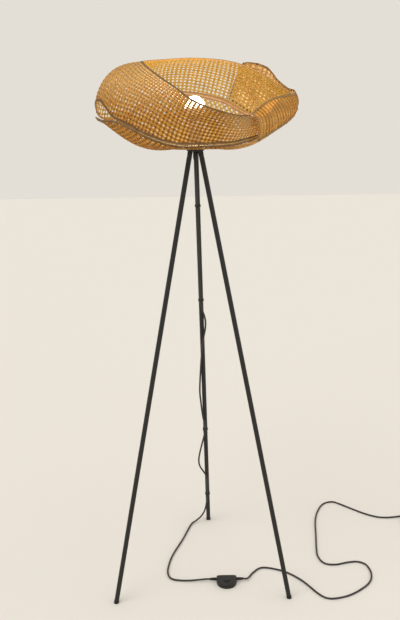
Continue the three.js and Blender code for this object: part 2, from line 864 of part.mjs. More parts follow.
place("woven_band", carve(makeBand(), { cut: laceCutters }), "rattan");
place("woven_wrap", carve(makeWrap(), { cut: laceCutters }), "rattan");
place("band_top_rod", rodRound(bandHighLoop, loopShares.map((s) => band.out(s, 1))), "rattanRod");
place("band_low_rod", rodRound(bandLowLoop, loopShares.map((s) => band.out(s, 0))), "rattanRod");
place("bowl_rim_rod", rodRound(rimLoop, loopShares.map((s) => band.out(s, 0))), "rattanRod");
place("wrap_edge_rod", rodRound(wrapEdge.points, wrapEdge.across), "rattanRod");
for (const lace of laces) {
  place(lace.name, makeLace(lace.at, lace.along, lace.rods, laceRadius), "rattanLace");
}

// Carrier: a steel disc with four wires that hug the bowl and end in eyelets
const armSides = { right: 0, back: 90, left: 180, front: 270 };
const armCells = 4;
const carrierBottom = clampHeight + sheetThickness / 2 + gap;
const carrierTop = carrierBottom + carrierThickness;
const armLift = sheetThickness / 2 + gap + carrierWire;

function armFor(degrees) {
  const wanted = degrees * radians;
  const off = (line) => Math.abs(Math.cos(Math.atan2(line[1].y, line[1].x) - wanted) - 1);
  const best = bowlLines.reduce((held, line, k) => (off(line) < off(bowlLines[held]) ? k : held), 0);
  const [one, two] = [bowlLines[best], bowlLines[(best + 1) % bowlLines.length]];
  const middle = one.map((point, k) => point.clone().lerp(two[k], 0.5));
  const inward = middle.map((_, k) => bowlOut(middle, k).negate());
  const seat = middle[armCells].clone().lerp(middle[armCells + 1], 0.5);
  const run = middle[armCells + 1].clone().sub(middle[armCells]).normalize();
  const side = two[armCells].clone().sub(one[armCells]).normalize();
  const up = run.clone().cross(side).normalize();
  if (up.z < 0) {
    up.negate();
  }
  return { column: best, middle, inward, seat, run, up };
}

// Places a piece made about Z at a bowl seat, its +Z pointing into the bowl
function atSeat(geometry, seat, up) {
  const turn = new THREE.Quaternion().setFromUnitVectors(zAxis, up);
  const matrix = new THREE.Matrix4().makeRotationFromQuaternion(turn).setPosition(seat);
  return geometry.applyMatrix4(matrix);
}

const arms = Object.fromEntries(
  Object.entries(armSides).map(([side, degrees]) => [side, armFor(degrees)]),
);
const eyeletBottom = sheetThickness / 2 + gap;
const eyeletTop = eyeletBottom + carrierThickness;
const rivetHole = rivetShank + gap;

function makeCarrier() {
  const disc = turned([
    [0, carrierBottom],
    [clampRadius, carrierBottom],
    [clampRadius, carrierTop],
    [0, carrierTop],
  ]);
  const add = [];
  const cut = [pin(nippleRadius + gap, carrierBottom - overrun, carrierTop + overrun, roundSides)];
  for (const { middle, inward, seat, run, up } of Object.values(arms)) {
    const start = polar(holderRadius + carrierWire, Math.atan2(seat.y, seat.x), clampHeight + armLift);
    const rise = inward.map((direction, k) => middle[k].clone().addScaledVector(direction, armLift));
    const end = seat.clone().addScaledVector(up, armLift).addScaledVector(run, -rivetHole - gap);
    const points = [start, ...rise.slice(1, armCells + 1), end];
    const across = [zAxis, ...inward.slice(1, armCells + 1), up];
    add.push(sweep(points, across, circle(carrierWire, wireSides), false));
    add.push(atSeat(pin(eyeletRadius, eyeletBottom, eyeletTop, eyeletSides), seat, up));
    cut.push(atSeat(pin(rivetHole, -overrun, eyeletTop + overrun, eyeletSides), seat, up));
    const above = pin(rivetHead + gap, eyeletTop, eyeletTop + 2 * overrun, eyeletSides);
    cut.push(atSeat(above, seat, up));
  }
  return carve(disc, { add, cut });
}
place("shade_carrier", makeCarrier(), "zincSteel");

const bowlCuts = Object.values(arms).map(({ seat, up }) => {
  return atSeat(pin(rivetHole, -overrun, overrun, eyeletSides), seat, up);
});
const armColumns = Object.values(arms).map(({ column }) => column);
place("woven_bowl", makeBowl(armColumns, [...bowlCuts, ...laceCutters]), "rattan");

for (const [side, { seat, up }] of Object.entries(arms)) {
  const under = -sheetThickness / 2 - gap;
  const over = eyeletTop + gap;
  const rivet = turned([
    [0, under - rivetHeadHeight],
    [rivetHead - rivetHeadHeight, under - rivetHeadHeight],
    [rivetHead, under],
    [rivetShank, under],
    [rivetShank, over],
    [rivetTail, over],
    [rivetTail - rivetTailHeight, over + rivetTailHeight],
    [0, over + rivetTailHeight],
  ], eyeletSides);
  place(`rivet_${side}`, atSeat(rivet, seat, up), "blackPlastic");
}

// Lampholder on the carrier
const holderBottom = carrierTop + gap;
const holderSplit = holderBottom + capHeight;
place("lampholder_cap", turnedRing([
  [nippleRadius + gap, holderBottom],
  [holderRadius - holderWall, holderBottom],
  [holderRadius, holderBottom + holderWall],
  [holderRadius, holderSplit],
  [holderRadius - holderWall, holderSplit],
  [holderRadius - holderWall, holderBottom + holderFloor],
  [nippleRadius + gap, holderBottom + holderFloor],
]), "blackPlastic");

const bodyBottom = holderSplit + gap;
const bodyTop = bodyBottom + bodyHeight;
place("lampholder_body", turnedRing([
  [holderRadius - holderWall, bodyBottom],
  [holderRadius, bodyBottom],
  [holderRadius, bodyTop - holderWall],
  [holderRadius - holderWall / 2, bodyTop],
  [holderRadius - holderWall, bodyTop],
]), "blackPlastic");

const insertRadius = holderRadius - holderWall - gap;
const insertBore = insertRadius - insertWall;
const insertBottom = holderBottom + holderFloor + gap;
const floorTop = insertBottom + insertFloorRise;
place("lampholder_insert", turned([
  [0, floorTop - insertFloor],
  [insertBore, floorTop - insertFloor],
  [insertBore, insertBottom],
  [insertRadius, insertBottom],
  [insertRadius, bodyTop - holderWall],
  [insertBore, bodyTop - holderWall],
  [insertBore, floorTop],
  [0, floorTop],
]), "whitePlastic");

const shellRadius = insertBore - gap;
const shellBottom = floorTop + gap;
place("screw_shell", turnedRing([
  [shellRadius - shellWall, shellBottom],
  [shellRadius, shellBottom],
  [shellRadius, bodyTop - holderWall],
  [shellRadius - shellWall, bodyTop - holderWall],
]), "nickelBrass");

// A brass tongue, folded back over itself, that presses on the bulb's contact
const bulbBottom = shellBottom + bulbCapTaper;
function makeTongue() {
  const half = contactWidth / 2;
  const rise = bulbBottom - bulbTipHeight - gap - shellBottom - contactThickness;
  const shape = new THREE.Shape();
  shape.moveTo(-half, 0);
  shape.lineTo(contactWidth, 0);
  shape.lineTo(contactWidth, contactThickness);
  shape.lineTo(-half + contactThickness, contactThickness);
  shape.lineTo(half, rise);
  shape.lineTo(half, rise + contactThickness);
  shape.lineTo(0, rise + contactThickness);
  shape.lineTo(-half, contactThickness);
  const tongue = new THREE.ExtrudeGeometry(shape, { depth: contactWidth, bevelEnabled: false, steps: 1 });
  tongue.rotateX(Math.PI / 2);
  tongue.translate(0, half, shellBottom);
  return tidy(tongue);
}
place("centre_contact", makeTongue(), "brass");

// Bulb
const bulbCapTop = bulbBottom + bulbCapHeight;
place("bulb_cap", turned([
  [0, bulbBottom - bulbTipHeight],
  [bulbTipRadius / 2, bulbBottom - bulbTipHeight],
  [bulbTipRadius, bulbBottom - bulbTipHeight / 2],
  [bulbTipRadius, bulbBottom],
  [bulbTipRadius + 2 * bulbCapWall, bulbBottom],
  [bulbCapRadius, bulbBottom + bulbCapTaper],
  [bulbCapRadius, bulbCapTop],
  [bulbCapRadius - bulbCapWall, bulbCapTop],
  [bulbCapRadius - bulbCapWall, bulbBottom + bulbCapTaper + bulbCapWall],
  [0, bulbBottom + bulbCapTaper + bulbCapWall],
]), "nickelBrass");

function makeGlass() {
  const neck = bulbCapRadius - bulbCapWall - gap;
  const low = bulbCapTop - bulbCapHeight / 2;
  const centre = bulbCapTop + bulbNeckHeight;
  const shape = (radius, shrink) => [
    [neck - shrink, low],
    [neck - shrink, bulbCapTop + bulbSeat],
    ...spread(...bulbArcDegrees, glassCells).map((degrees) => {
      const angle = degrees * radians;
      return [radius * Math.cos(angle), centre + radius * Math.sin(angle)];
    }),
  ];
  return turned([
    [0, centre + bulbRadius - bulbGlass],
    ...shape(bulbRadius - bulbGlass, bulbGlass).reverse(),
    ...shape(bulbRadius, 0),
    [0, centre + bulbRadius],
  ]);
}
place("bulb_glass", makeGlass(), "opalGlass");

// Cord route down the back leg and over the floor to the switch, chosen by hand
const dropPlaces = [
  [0.5, 6, 1345], [2.5, 24, 1302], [3.7, 42.7, 1250], [6.5, 74.5, 1104], [9.8, 112, 930],
  [25, 132, 849], [13, 148.7, 760], [3, 186, 604], [5.5, 199, 542], [12, 209, 480],
  [19.5, 222.2, 420],
  [-5, 257, 281], [22, 267, 212], [25, 285.8, 127], [17, 298, 62], [2, 306, 26],
  [-18, 301, 9], [-38, 280, 4.6], [-67, 185, 3.5], [-101, 86, 3.2], [-113, 26, 3.1],
  [-115, -22, 3.1], [-99, -56, 3.4], [-50, -67, 4.2],
];
// From the switch over the floor, in two wide bends, to the coil
const runPlaces = [
  [163, -48, 4.2], [178, -24, 3.5], [209, 2, 3.2], [262, -11, 3.1], [300, -35, 3.05],
  [341, -80, 3.05], [384, -149, 3.05], [414, -171, 3.05], [458, -165, 3.05], [504, -142, 3.05],
  [556, -95, 3.05], [576, -45, 3.05], [570, 8, 3.05], [543, 29, 3.05], [505, 25, 3.05],
  [465, 14, 3.05], [428, 22, 3.05], [411, 60, 3.05], [412, 110, 3.05], [422, 193, 3.05],
  [435, 298, 3.05], [455, 369, 3.05], [484, 420, 3.05], [520, 435, 3.05], [548, 418, 3.05],
  [585, 384, 3.05], [634, 342, 3.05], [680, 317, 3.1], [727, 314, 3.4],
];

function cordTube(points, steps) {
  const curve = new THREE.CatmullRomCurve3(points, false, "catmullrom", 0.5);
  const outline = new THREE.Shape(circle(cordRadius, cordSides).map(([x, y]) => new THREE.Vector2(x, y)));
  const tube = new THREE.ExtrudeGeometry(outline, { extrudePath: curve, steps, bevelEnabled: false });
  return { curve, line: curve.getSpacedPoints(steps), tube: tidy(tube) };
}

function triple([x, y, z]) {
  return new THREE.Vector3(x, y, z);
}

const cordLane = switchCentre[1] + cordOffset;
const reliefReach = switchWidth / 2 + gap + reliefLength;
const cordIn = new THREE.Vector3(switchCentre[0] - reliefReach - gap, cordLane, cordHeight);
const cordOut = new THREE.Vector3(switchCentre[0] + reliefReach + gap, cordLane, cordHeight);
const straight = 4 * cordRadius;
const exit = new THREE.Vector3(0, 0, gripBottom - gap);
const drop = cordTube([
  exit,
  exit.clone().addScaledVector(zAxis, -straight),
  ...dropPlaces.map(triple),
  cordIn.clone().addScaledVector(xAxis, -straight),
  cordIn,
], dropSteps);
place("cord_drop", drop.tube, "blackRubber");

// Coil: two layers that spiral in and, after a half turn's climb, out again, clockwise
const lowTurns = 2.25;
const climbTurns = 0.5;
const highTurns = 2.5;
const allTurns = lowTurns + climbTurns + highTurns;
const shiftShare = 0.2;
const dipShare = 0.25;
const coilHeight = cordRadius + tieSlack + tieThickness + floorLift;

function coilPlace(turn) {
  const inner = coilRadius - coilPitch * lowTurns;
  const climbed = THREE.MathUtils.clamp((turn - lowTurns) / climbTurns, 0, 1);
  let radius = coilRadius - coilPitch * turn;
  if (turn > lowTurns) {
    const dip = dipShare * Math.sin(Math.PI * climbed);
    radius = inner - coilPitch * (shiftShare * climbed + dip);
    radius += coilPitch * Math.max(turn - lowTurns - climbTurns, 0);
  }
  const height = coilHeight + coilLayer * THREE.MathUtils.smoothstep(climbed, 0, 1);
  return { radius, height, angle: (coilStartTurn - turn) * 2 * Math.PI };
}

function coilPoint(turn) {
  const { radius, height, angle } = coilPlace(turn);
  return polar(radius, angle, height).add(new THREE.Vector3(coilCentre[0], coilCentre[1], 0));
}

const coilLine = spread(0, allTurns, allTurns * coilSteps).map(coilPoint);
const coilStart = coilLine[0].clone().addScaledVector(xAxis, -2 * cordRadius);
const coilEnd = coilLine.at(-1).clone().addScaledVector(yAxis, -2 * cordRadius);
const coilPath = [coilStart, ...coilLine, coilEnd];
place("cord_coil", sweep(coilPath, coilPath.map(() => zAxis), circle(cordRadius, coilSides), false), "blackRubber");

// The least gap between turns, measured on points half a turn or more apart
function coilGap() {
  const half = coilSteps / 2;
  let least = Infinity;
  coilLine.forEach((point, k) => {
    for (let j = k + half; j < coilLine.length; j += 1) {
      least = Math.min(least, point.distanceTo(coilLine[j]) - 2 * cordRadius);
    }
  });
  return least;
}
console.log(`least gap in the coil ${coilGap().toFixed(2)} mm`);

const run = cordTube([
  cordOut,
  cordOut.clone().addScaledVector(xAxis, straight),
  ...runPlaces.map(triple),
  coilStart.clone().addScaledVector(xAxis, -straight - gap),
  coilStart.clone().addScaledVector(xAxis, -gap),
], runSteps);
place("cord_run", run.tube, "blackRubber");

// A strap round every turn of the coil at one side
const tieTurn = 4.75;
const tieTurns = Array.from({ length: Math.floor(tieTurn) + 1 }, (_, k) => tieTurn - k);
const tieOut = polar(1, coilPlace(tieTurn).angle);
const tieCircles = tieTurns.map((turn) => {
  const { radius, height } = coilPlace(turn);
  return [radius, height, cordRadius + tieSlack];
});
const tieOrigin = new THREE.Vector3(coilCentre[0], coilCentre[1], 0);
const tieSection = strip(tieThickness, tieWidth);
place(
  "coil_tie",
  loopRound(tieCircles, tieOrigin, tieOut, zAxis, tieThickness / 2, tieSection, clipSteps),
  "blackPlastic",
);

// Plug: a flat two-pin plug that lies on the floor, its pins towards -Y
const plugHeight = plugThickness / 2 + floorLift;
const plugStart = [coilEnd.x, coilEnd.y - tailReach];
function ovalLoop(halfWidth, halfHeight, power, along) {
  return Array.from({ length: outlineSides }, (_, k) => {
    const angle = (k / outlineSides) * 2 * Math.PI;
    const bend = (value) => Math.sign(value) * Math.abs(value) ** (2 / power);
    const x = halfWidth * bend(Math.cos(angle));
    const z = halfHeight * bend(Math.sin(angle));
    return new THREE.Vector3(plugStart[0] + x, plugStart[1] - along, plugHeight + z);
  });
}

function makePlug() {
  const roundPower = 2;
  const boxPower = 3.2;
  const shoulderShare = 0.6;
  const halfWidth = plugWidth / 2;
  const halfHeight = plugThickness / 2;
  const face = plugRelief + plugLength;
  const body = loft([
    ovalLoop(reliefTip, reliefTip, roundPower, 0),
    ovalLoop(reliefRoot, reliefRoot, roundPower, plugRelief),
    ovalLoop(halfWidth * shoulderShare, halfHeight - plugEdge / 2, boxPower, plugRelief + plugEdge),
    ovalLoop(halfWidth - plugEdge, halfHeight, boxPower, plugRelief + plugLength / 3),
    ovalLoop(halfWidth, halfHeight, boxPower, face - plugEdge),
    ovalLoop(halfWidth - plugEdge, halfHeight - plugEdge, boxPower, face),
  ], false);
  const cut = [-1, 1].map((side) => plugPin(side, pinRadius + gap, face - pinSeat, face + overrun));
  return carve(body, { cut });
}

function plugPin(side, radius, from, to) {
  const post = pin(radius, from, to);
  post.rotateX(Math.PI / 2);
  post.translate(plugStart[0] + (side * pinSpacing) / 2, plugStart[1], plugHeight);
  return post;
}
place("plug_body", makePlug(), "blackPlastic");
for (const [name, side] of Object.entries({ left: -1, right: 1 })) {
  const from = plugRelief + plugLength - pinSeat + gap;
  const post = plugPin(side, pinRadius, from, from - gap + pinSeat + pinLength);
  place(`plug_pin_${name}`, post, "nickelBrass");
}

const tail = cordTube([
  coilEnd.clone().addScaledVector(yAxis, -gap),
  coilEnd.clone().addScaledVector(yAxis, -gap - straight),
  new THREE.Vector3(coilEnd.x, (coilEnd.y + plugStart[1]) / 2, cordRadius + floorLift),
  new THREE.Vector3(plugStart[0], plugStart[1] + straight + gap, plugHeight),
  new THREE.Vector3(plugStart[0], plugStart[1] + gap, plugHeight),
], tailSteps);
place("cord_end", tail.tube, "blackRubber");

// Clips hold the cord to the back leg
for (const [side, share] of Object.entries(clipShares)) {
  const frame = legFrames.back;
  const along = new THREE.Vector3().setFromMatrixColumn(frame.matrixWorld, 2);
  const out = new THREE.Vector3().setFromMatrixColumn(frame.matrixWorld, 0);
  const sideways = along.clone().cross(out);
  const origin = new THREE.Vector3().setFromMatrixPosition(frame.matrixWorld);
  origin.addScaledVector(along, (share * hubUnder) / Math.cos(tilt));
  const { offset } = crossing(drop.line, origin, along);
  const circles = [
    [0, 0, legRadius + clipSlack],
    [offset.dot(out), offset.dot(sideways), cordRadius + clipSlack],
  ];
  const section = strip(clipThickness, clipWidth);
  const clip = loopRound(circles, origin, out, sideways, clipThickness / 2, section, clipSteps);
  place(`cord_clip_${side}`, clip, "blackPlastic");
}

// Foot switch, in a frame at its own middle on the floor
const footSwitch = new THREE.Group();
footSwitch.position.set(switchCentre[0], switchCentre[1], 0);
lamp.add(footSwitch);

// The D-shaped outline, drawn in by `inset`: square-cornered behind, round in front
const squareness = { far: 6, near: 2.2 };
function outlineLoop(inset, height) {
  return Array.from({ length: outlineSides }, (_, k) => {
    const angle = (k / outlineSides) * 2 * Math.PI;
    const [cosine, sine] = [Math.cos(angle), Math.sin(angle)];
    const power = sine > 0 ? squareness.far : squareness.near;
    const depth = (sine > 0 ? switchFar : switchNear) - inset;
    const bend = (value) => Math.sign(value) * Math.abs(value) ** (2 / power);
    return new THREE.Vector3((switchWidth / 2 - inset) * bend(cosine), depth * bend(sine), height);
  });
}

function buttonLoop(radius, height) {
  return Array.from({ length: outlineSides }, (_, k) => {
    const spot = polar(radius, (k / outlineSides) * 2 * Math.PI, height);
    return spot.addScaledVector(yAxis, buttonOffset);
  });
}

function reliefHole() {
  const hole = pin(reliefNeck + gap, -switchWidth, switchWidth);
  hole.rotateY(Math.PI / 2);
  hole.translate(0, cordOffset, cordHeight);
  return hole;
}

function atScrews(make) {
  return [-1, 1].map((side) => make().translate(side * screwOffset[0], screwOffset[1], 0));
}

function makeSwitchBase() {
  const tray = loft([
    outlineLoop(0, 0),
    outlineLoop(0, cordHeight - gap / 2),
    outlineLoop(switchWall, cordHeight - gap / 2),
    outlineLoop(switchWall, switchFloor),
  ], false);
  const recess = screwHeadHeight + 2 * gap;
  const cut = [
    reliefHole(),
    ...atScrews(() => pin(screwRadius + gap, -overrun, switchFloor + overrun)),
    ...atScrews(() => pin(screwHead + gap, -overrun, recess)),
  ];
  return carve(tray, { cut });
}
place("switch_base", makeSwitchBase(), "blackPlastic", footSwitch);

const coverUnder = switchHeight - switchWall;
const screwTop = gap + screwHeadHeight + screwLength;
function makeSwitchCover() {
  const corner = (radius, inset) => spread(0, 90, 3).map((degrees) => {
    const angle = degrees * radians;
    const height = switchHeight - switchEdge + radius * Math.sin(angle);
    return outlineLoop(inset + radius * (1 - Math.cos(angle)), height);
  });
  const shell = loft([
    outlineLoop(0, cordHeight + gap / 2),
    ...corner(switchEdge, 0),
    buttonLoop(buttonRadius + gap, switchHeight),
    buttonLoop(buttonRadius + gap, coverUnder),
    ...corner(switchEdge - switchWall, switchWall).reverse(),
    outlineLoop(switchWall, cordHeight + gap / 2),
  ], true);
  const add = atScrews(() => pin(bossRadius, switchFloor + gap, coverUnder + switchWall / 2));
  const cut = [
    reliefHole(),
    ...atScrews(() => pin(screwRadius + gap, -overrun, screwTop + gap)),
  ];
  return carve(shell, { add, cut });
}
place("switch_cover", makeSwitchCover(), "blackPlastic", footSwitch);

const blockBottom = switchFloor + gap;
const blockTop = blockBottom + blockHeight;
function makeSwitchBlock() {
  const block = new THREE.BoxGeometry(blockWidth, blockDepth, blockHeight);
  block.translate(0, buttonOffset, blockBottom + blockHeight / 2);
  const cut = [-1, 1].map((side) => {
    const hole = pin(terminalRadius, -blockDepth, blockDepth);
    hole.rotateX(Math.PI / 2);
    return hole.translate((side * terminalSpacing) / 2, buttonOffset, blockBottom + blockHeight / 2);
  });
  return carve(block, { cut });
}
place("switch_block", makeSwitchBlock(), "whitePlastic", footSwitch);

const buttonBottom = coverUnder - gap - buttonFlangeHeight;
const buttonTop = switchHeight + buttonProud;
const springBottom = blockTop + gap;
const springTop = buttonBottom - gap;
const spring = turnedRing([
  [springRadius - springWire, springBottom],
  [springRadius, springBottom],
  [springRadius, springTop],
  [springRadius - springWire, springTop],
], smallSides);
place("switch_spring", spring.translate(0, buttonOffset, 0), "zincSteel", footSwitch);

const button = turned([
  [0, buttonBottom],
  [buttonRadius + buttonFlange, buttonBottom],
  [buttonRadius + buttonFlange, coverUnder - gap],
  [buttonRadius, coverUnder - gap],
  [buttonRadius, buttonTop - buttonEdge],
  [buttonRadius - buttonEdge, buttonTop - buttonEdge / 3],
  [buttonRadius / 2, buttonTop],
  [0, buttonTop],
]);
place("switch_button", button.translate(0, buttonOffset, 0), "blackPlastic", footSwitch);
console.log(`pressed, the spring has ${(buttonBottom - buttonTravel - springBottom).toFixed(2)} mm left`);

// Strain reliefs: a flange inside the wall, a neck through it and a long taper outside
for (const [name, side] of Object.entries({ in: -1, out: 1 })) {
  const wall = switchWidth / 2;
  const inner = wall - switchWall - 2 * gap;
  const relief = turned([
    [0, inner - reliefFlangeWidth],
    [reliefFlange, inner - reliefFlangeWidth],
    [reliefFlange, inner],
    [reliefNeck, inner],
    [reliefNeck, wall + gap],
    [reliefRoot, wall + gap],
    [reliefTip, wall + gap + reliefLength],
    [0, wall + gap + reliefLength],
  ], smallSides);
  relief.rotateY((side * Math.PI) / 2);
  relief.translate(0, cordOffset, cordHeight);
  place(`strain_relief_${name}`, relief, "blackRubber", footSwitch);
}

for (const [k, screw] of atScrews(() => turned([
  [0, gap],
  [screwHead, gap],
  [screwHead, gap + screwHeadHeight],
  [screwRadius, gap + screwHeadHeight],
  [screwRadius, screwTop],
  [0, screwTop],
], smallSides)).entries()) {
  place(`switch_screw_${k + 1}`, screw, "zincSteel", footSwitch);
}

// The lamp stands over the origin: the middle of its own box, without the cord's pieces
const cordNames = /^(cord_(drop|run|coil|end)|coil_tie|plug|switch|strain)/;
lamp.updateMatrixWorld(true);
const standBox = new THREE.Box3();
lamp.traverse((piece) => {
  if (piece.isMesh && !cordNames.test(piece.name)) {
    standBox.expandByObject(piece, true);
  }
});
const middle = standBox.getCenter(new THREE.Vector3());
lamp.position.set(-middle.x, -middle.y, -standBox.min.z);
lamp.updateMatrixWorld(true);
const lengths = [drop, run, tail].map((part) => part.curve.getLength());
const coilLength = coilPath.slice(1).reduce((sum, point, k) => sum + point.distanceTo(coilPath[k]), 0);
console.log(`cord lengths ${lengths.map((value) => value.toFixed(0))} and coil ${coilLength.toFixed(0)} mm`);
console.log(`the legs meet over ${lamp.position.x.toFixed(2)}, ${lamp.position.y.toFixed(2)}`);

export default lamp;
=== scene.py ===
import json
import math
import bmesh
import bpy
import numpy as np
from mathutils import Matrix, Vector


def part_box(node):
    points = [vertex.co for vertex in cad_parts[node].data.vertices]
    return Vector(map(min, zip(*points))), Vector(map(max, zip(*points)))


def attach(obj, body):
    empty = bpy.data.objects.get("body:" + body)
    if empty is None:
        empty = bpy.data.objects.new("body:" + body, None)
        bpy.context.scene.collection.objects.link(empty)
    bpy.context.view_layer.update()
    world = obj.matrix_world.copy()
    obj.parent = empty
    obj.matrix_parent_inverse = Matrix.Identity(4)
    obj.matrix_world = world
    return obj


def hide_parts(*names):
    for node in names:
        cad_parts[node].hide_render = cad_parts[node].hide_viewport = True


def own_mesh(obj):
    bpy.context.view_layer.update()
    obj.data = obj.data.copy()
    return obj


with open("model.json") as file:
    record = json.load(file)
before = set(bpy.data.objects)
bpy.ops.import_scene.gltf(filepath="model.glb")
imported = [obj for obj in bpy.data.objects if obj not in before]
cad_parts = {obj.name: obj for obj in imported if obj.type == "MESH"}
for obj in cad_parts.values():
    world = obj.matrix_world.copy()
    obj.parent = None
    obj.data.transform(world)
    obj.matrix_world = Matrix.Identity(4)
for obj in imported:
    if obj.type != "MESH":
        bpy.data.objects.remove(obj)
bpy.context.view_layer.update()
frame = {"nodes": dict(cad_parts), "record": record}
nodes = frame["nodes"]
nippleLow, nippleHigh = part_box("nipple")
stand = Vector(((nippleLow.x + nippleHigh.x) / 2, (nippleLow.y + nippleHigh.y) / 2, 0.0))  # where the legs meet
standMm = np.array(stand) * 1000


def toRow(points):
    return (np.asarray(points, float) + standMm) / 1000  # from millimetres round the stand to the row frame


def hexToLinear(code):
    # an sRGB hex colour as linear values, with alpha
    parts = [int(code[i:i + 2], 16) / 255 for i in (0, 2, 4)]
    return [c / 12.92 if c <= 0.04045 else ((c + 0.055) / 1.055) ** 2.4 for c in parts] + [1.0]


sums, vectorSums = "ShaderNodeMath", "ShaderNodeVectorMath"
times, plus, timesPlus = ({"operation": name} for name in ("MULTIPLY", "ADD", "MULTIPLY_ADD"))


def addNode(tree, kind, settings=None, inputs=None):
    # a node with its settings; an input is a value, a socket, or a node whose first output is meant
    node = tree.nodes.new(kind)
    for key, value in (settings or {}).items():
        setattr(node, key, value)
    for key, value in (inputs or {}).items():
        if isinstance(value, bpy.types.Node):
            value = value.outputs[0]
        if isinstance(value, bpy.types.NodeSocket):
            tree.links.new(value, node.inputs[key])
        else:
            node.inputs[key].default_value = value
    return node


def addObject(name, data):
    obj = bpy.data.objects.new(name, data)
    bpy.context.scene.collection.objects.link(obj)
    return obj


def meshObject(name, points, faces, material):
    mesh = bpy.data.meshes.new(name)
    mesh.from_pydata([tuple(p) for p in points], [], faces)
    mesh.materials.append(material)
    mesh.shade_smooth()
    return addObject(name, mesh)


def newMaterial(name):
    material = bpy.data.materials.new(name)
    material.use_nodes = True
    return material, material.node_tree, material.node_tree.nodes["Principled BSDF"]


# the photograph's view: metres from the stand, degrees, focal length and frame in pixels, sensor in millimetres
view = {"right": 0.0072, "back": 2.356, "height": 1.620, "pitch": 16.28, "roll": 0.80, "focal": 787.8, "frame": 620,
        "sensor": 36, "far": 60}
cameraData = bpy.data.cameras.new("camera")
cameraData.sensor_width = view["sensor"]
cameraData.lens = view["focal"] / view["frame"] * view["sensor"]
cameraData.clip_end = view["far"]
camera = addObject("camera", cameraData)
turn = Matrix.Rotation(math.radians(90 - view["pitch"]), 4, "X") @ Matrix.Rotation(math.radians(-view["roll"]), 4, "Z")
camera.matrix_world = Matrix.Translation(stand + Vector((view["right"], -view["back"], view["height"]))) @ turn
bpy.context.scene.camera = camera
print("camera made")


def throughPoints(points, places, closed):
    # points of the smooth curve through a row of points, at places from 0 to 1 along the row
    points = np.asarray(points, float)
    count = len(points)
    places = np.asarray(places, float)
    spans = count if closed else count - 1
    scaled = places * spans
    whole = np.floor(scaled).astype(int)
    part = scaled - whole
    if not closed:
        last = whole >= count - 1
        whole = np.where(last, count - 2, whole)
        part = np.where(last, 1.0, part)
        padded = np.vstack([2 * points[0] - points[1], points, 2 * points[-1] - points[-2]])
        before, start, end, after = (padded[whole + k] for k in range(4))
    else:
        before, start, end, after = (points[(whole + k) % count] for k in (-1, 0, 1, 2))
    leave, arrive = 0.5 * (end - before), 0.5 * (after - start)
    t = part[:, None]
    return (start + leave * t + (-3 * start + 3 * end - 2 * leave - arrive) * t ** 2
            + (2 * start - 2 * end + leave + arrive) * t ** 3)


# the cord in millimetres round the stand; its routes are rows of points that the curve passes through
cordSizes = {
    "radius": 3.0, "floorLift": 0.05, "coilRadius": 43.0, "coilPitch": 6.6, "coilLayer": 6.5, "coilCentre": (812, 283),
    "lowTurns": 2.25, "climbTurns": 0.5, "highTurns": 2.5, "coilSteps": 24, "tieThickness": 0.8, "tieSlack": 0.6,
    "startTurn": 0.25, "drawIn": 0.2, "swing": 0.25, "near": 6, "leave": 12, "arrive": 18, "gap": 0.3, "straight": 12.0,
    "sideSteps": 4, "curveSteps": 8, "measureSteps": 12,
}
cordLook = {"dark": "151414", "pale": "211f1e", "grain": 900.0, "detail": 3.0, "bump": 0.12, "bumpHeight": 0.0003,
            "roughness": 0.42, "ior": 1.53}
dropPlaces = [
    (0.5, 6, 1345), (2.5, 24, 1302), (3.7, 42.7, 1250), (6.5, 74.5, 1104), (9.8, 112, 930),
    (25, 132, 849), (13, 148.7, 760), (3, 186, 604), (5.5, 199, 542), (12, 209, 480),
    (19.5, 222.2, 420), (-5, 257, 281), (22, 267, 212), (25, 285.8, 127), (17, 298, 62), (2, 306, 26),
    (-18, 301, 9), (-38, 280, 4.6), (-67, 185, 3.5), (-101, 86, 3.2), (-113, 26, 3.1),
    (-115, -22, 3.1), (-99, -56, 3.4), (-50, -67, 4.2),
]
runPlaces = [
    (163, -48, 4.2), (178, -24, 3.5), (209, 2, 3.2), (262, -11, 3.1), (300, -35, 3.05),
    (341, -80, 3.05), (384, -149, 3.05), (414, -171, 3.05), (458, -165, 3.05), (504, -142, 3.05),
    (556, -95, 3.05), (576, -45, 3.05), (570, 8, 3.05), (543, 29, 3.05), (505, 25, 3.05),
    (465, 14, 3.05), (428, 22, 3.05), (411, 60, 3.05), (412, 110, 3.05), (422, 193, 3.05),
    (435, 298, 3.05), (455, 369, 3.05), (484, 420, 3.05), (520, 435, 3.05), (548, 418, 3.05),
    (585, 384, 3.05), (634, 342, 3.05), (680, 317, 3.1), (727, 314, 3.4),
]


def coilPoint(turns):
    # a flat spiral inwards, a climb, and a second layer outwards on top of it
    sizes = cordSizes
    inner = sizes["coilRadius"] - sizes["coilPitch"] * sizes["lowTurns"]
    climbed = min(max((turns - sizes["lowTurns"]) / sizes["climbTurns"], 0), 1)
    radius = sizes["coilRadius"] - sizes["coilPitch"] * turns
    if turns > sizes["lowTurns"]:
        swing = sizes["swing"] * math.sin(math.pi * climbed)
        radius = inner - sizes["coilPitch"] * (sizes["drawIn"] * climbed + swing)
        radius += sizes["coilPitch"] * max(turns - sizes["lowTurns"] - sizes["climbTurns"], 0)
    height = sizes["radius"] + sizes["tieSlack"] + sizes["tieThickness"] + sizes["floorLift"]
    height += sizes["coilLayer"] * climbed * climbed * (3 - 2 * climbed)
    angle = (sizes["startTurn"] - turns) * 2 * math.pi
    x, y = sizes["coilCentre"]
    return (x + radius * math.cos(angle), y + radius * math.sin(angle), height)


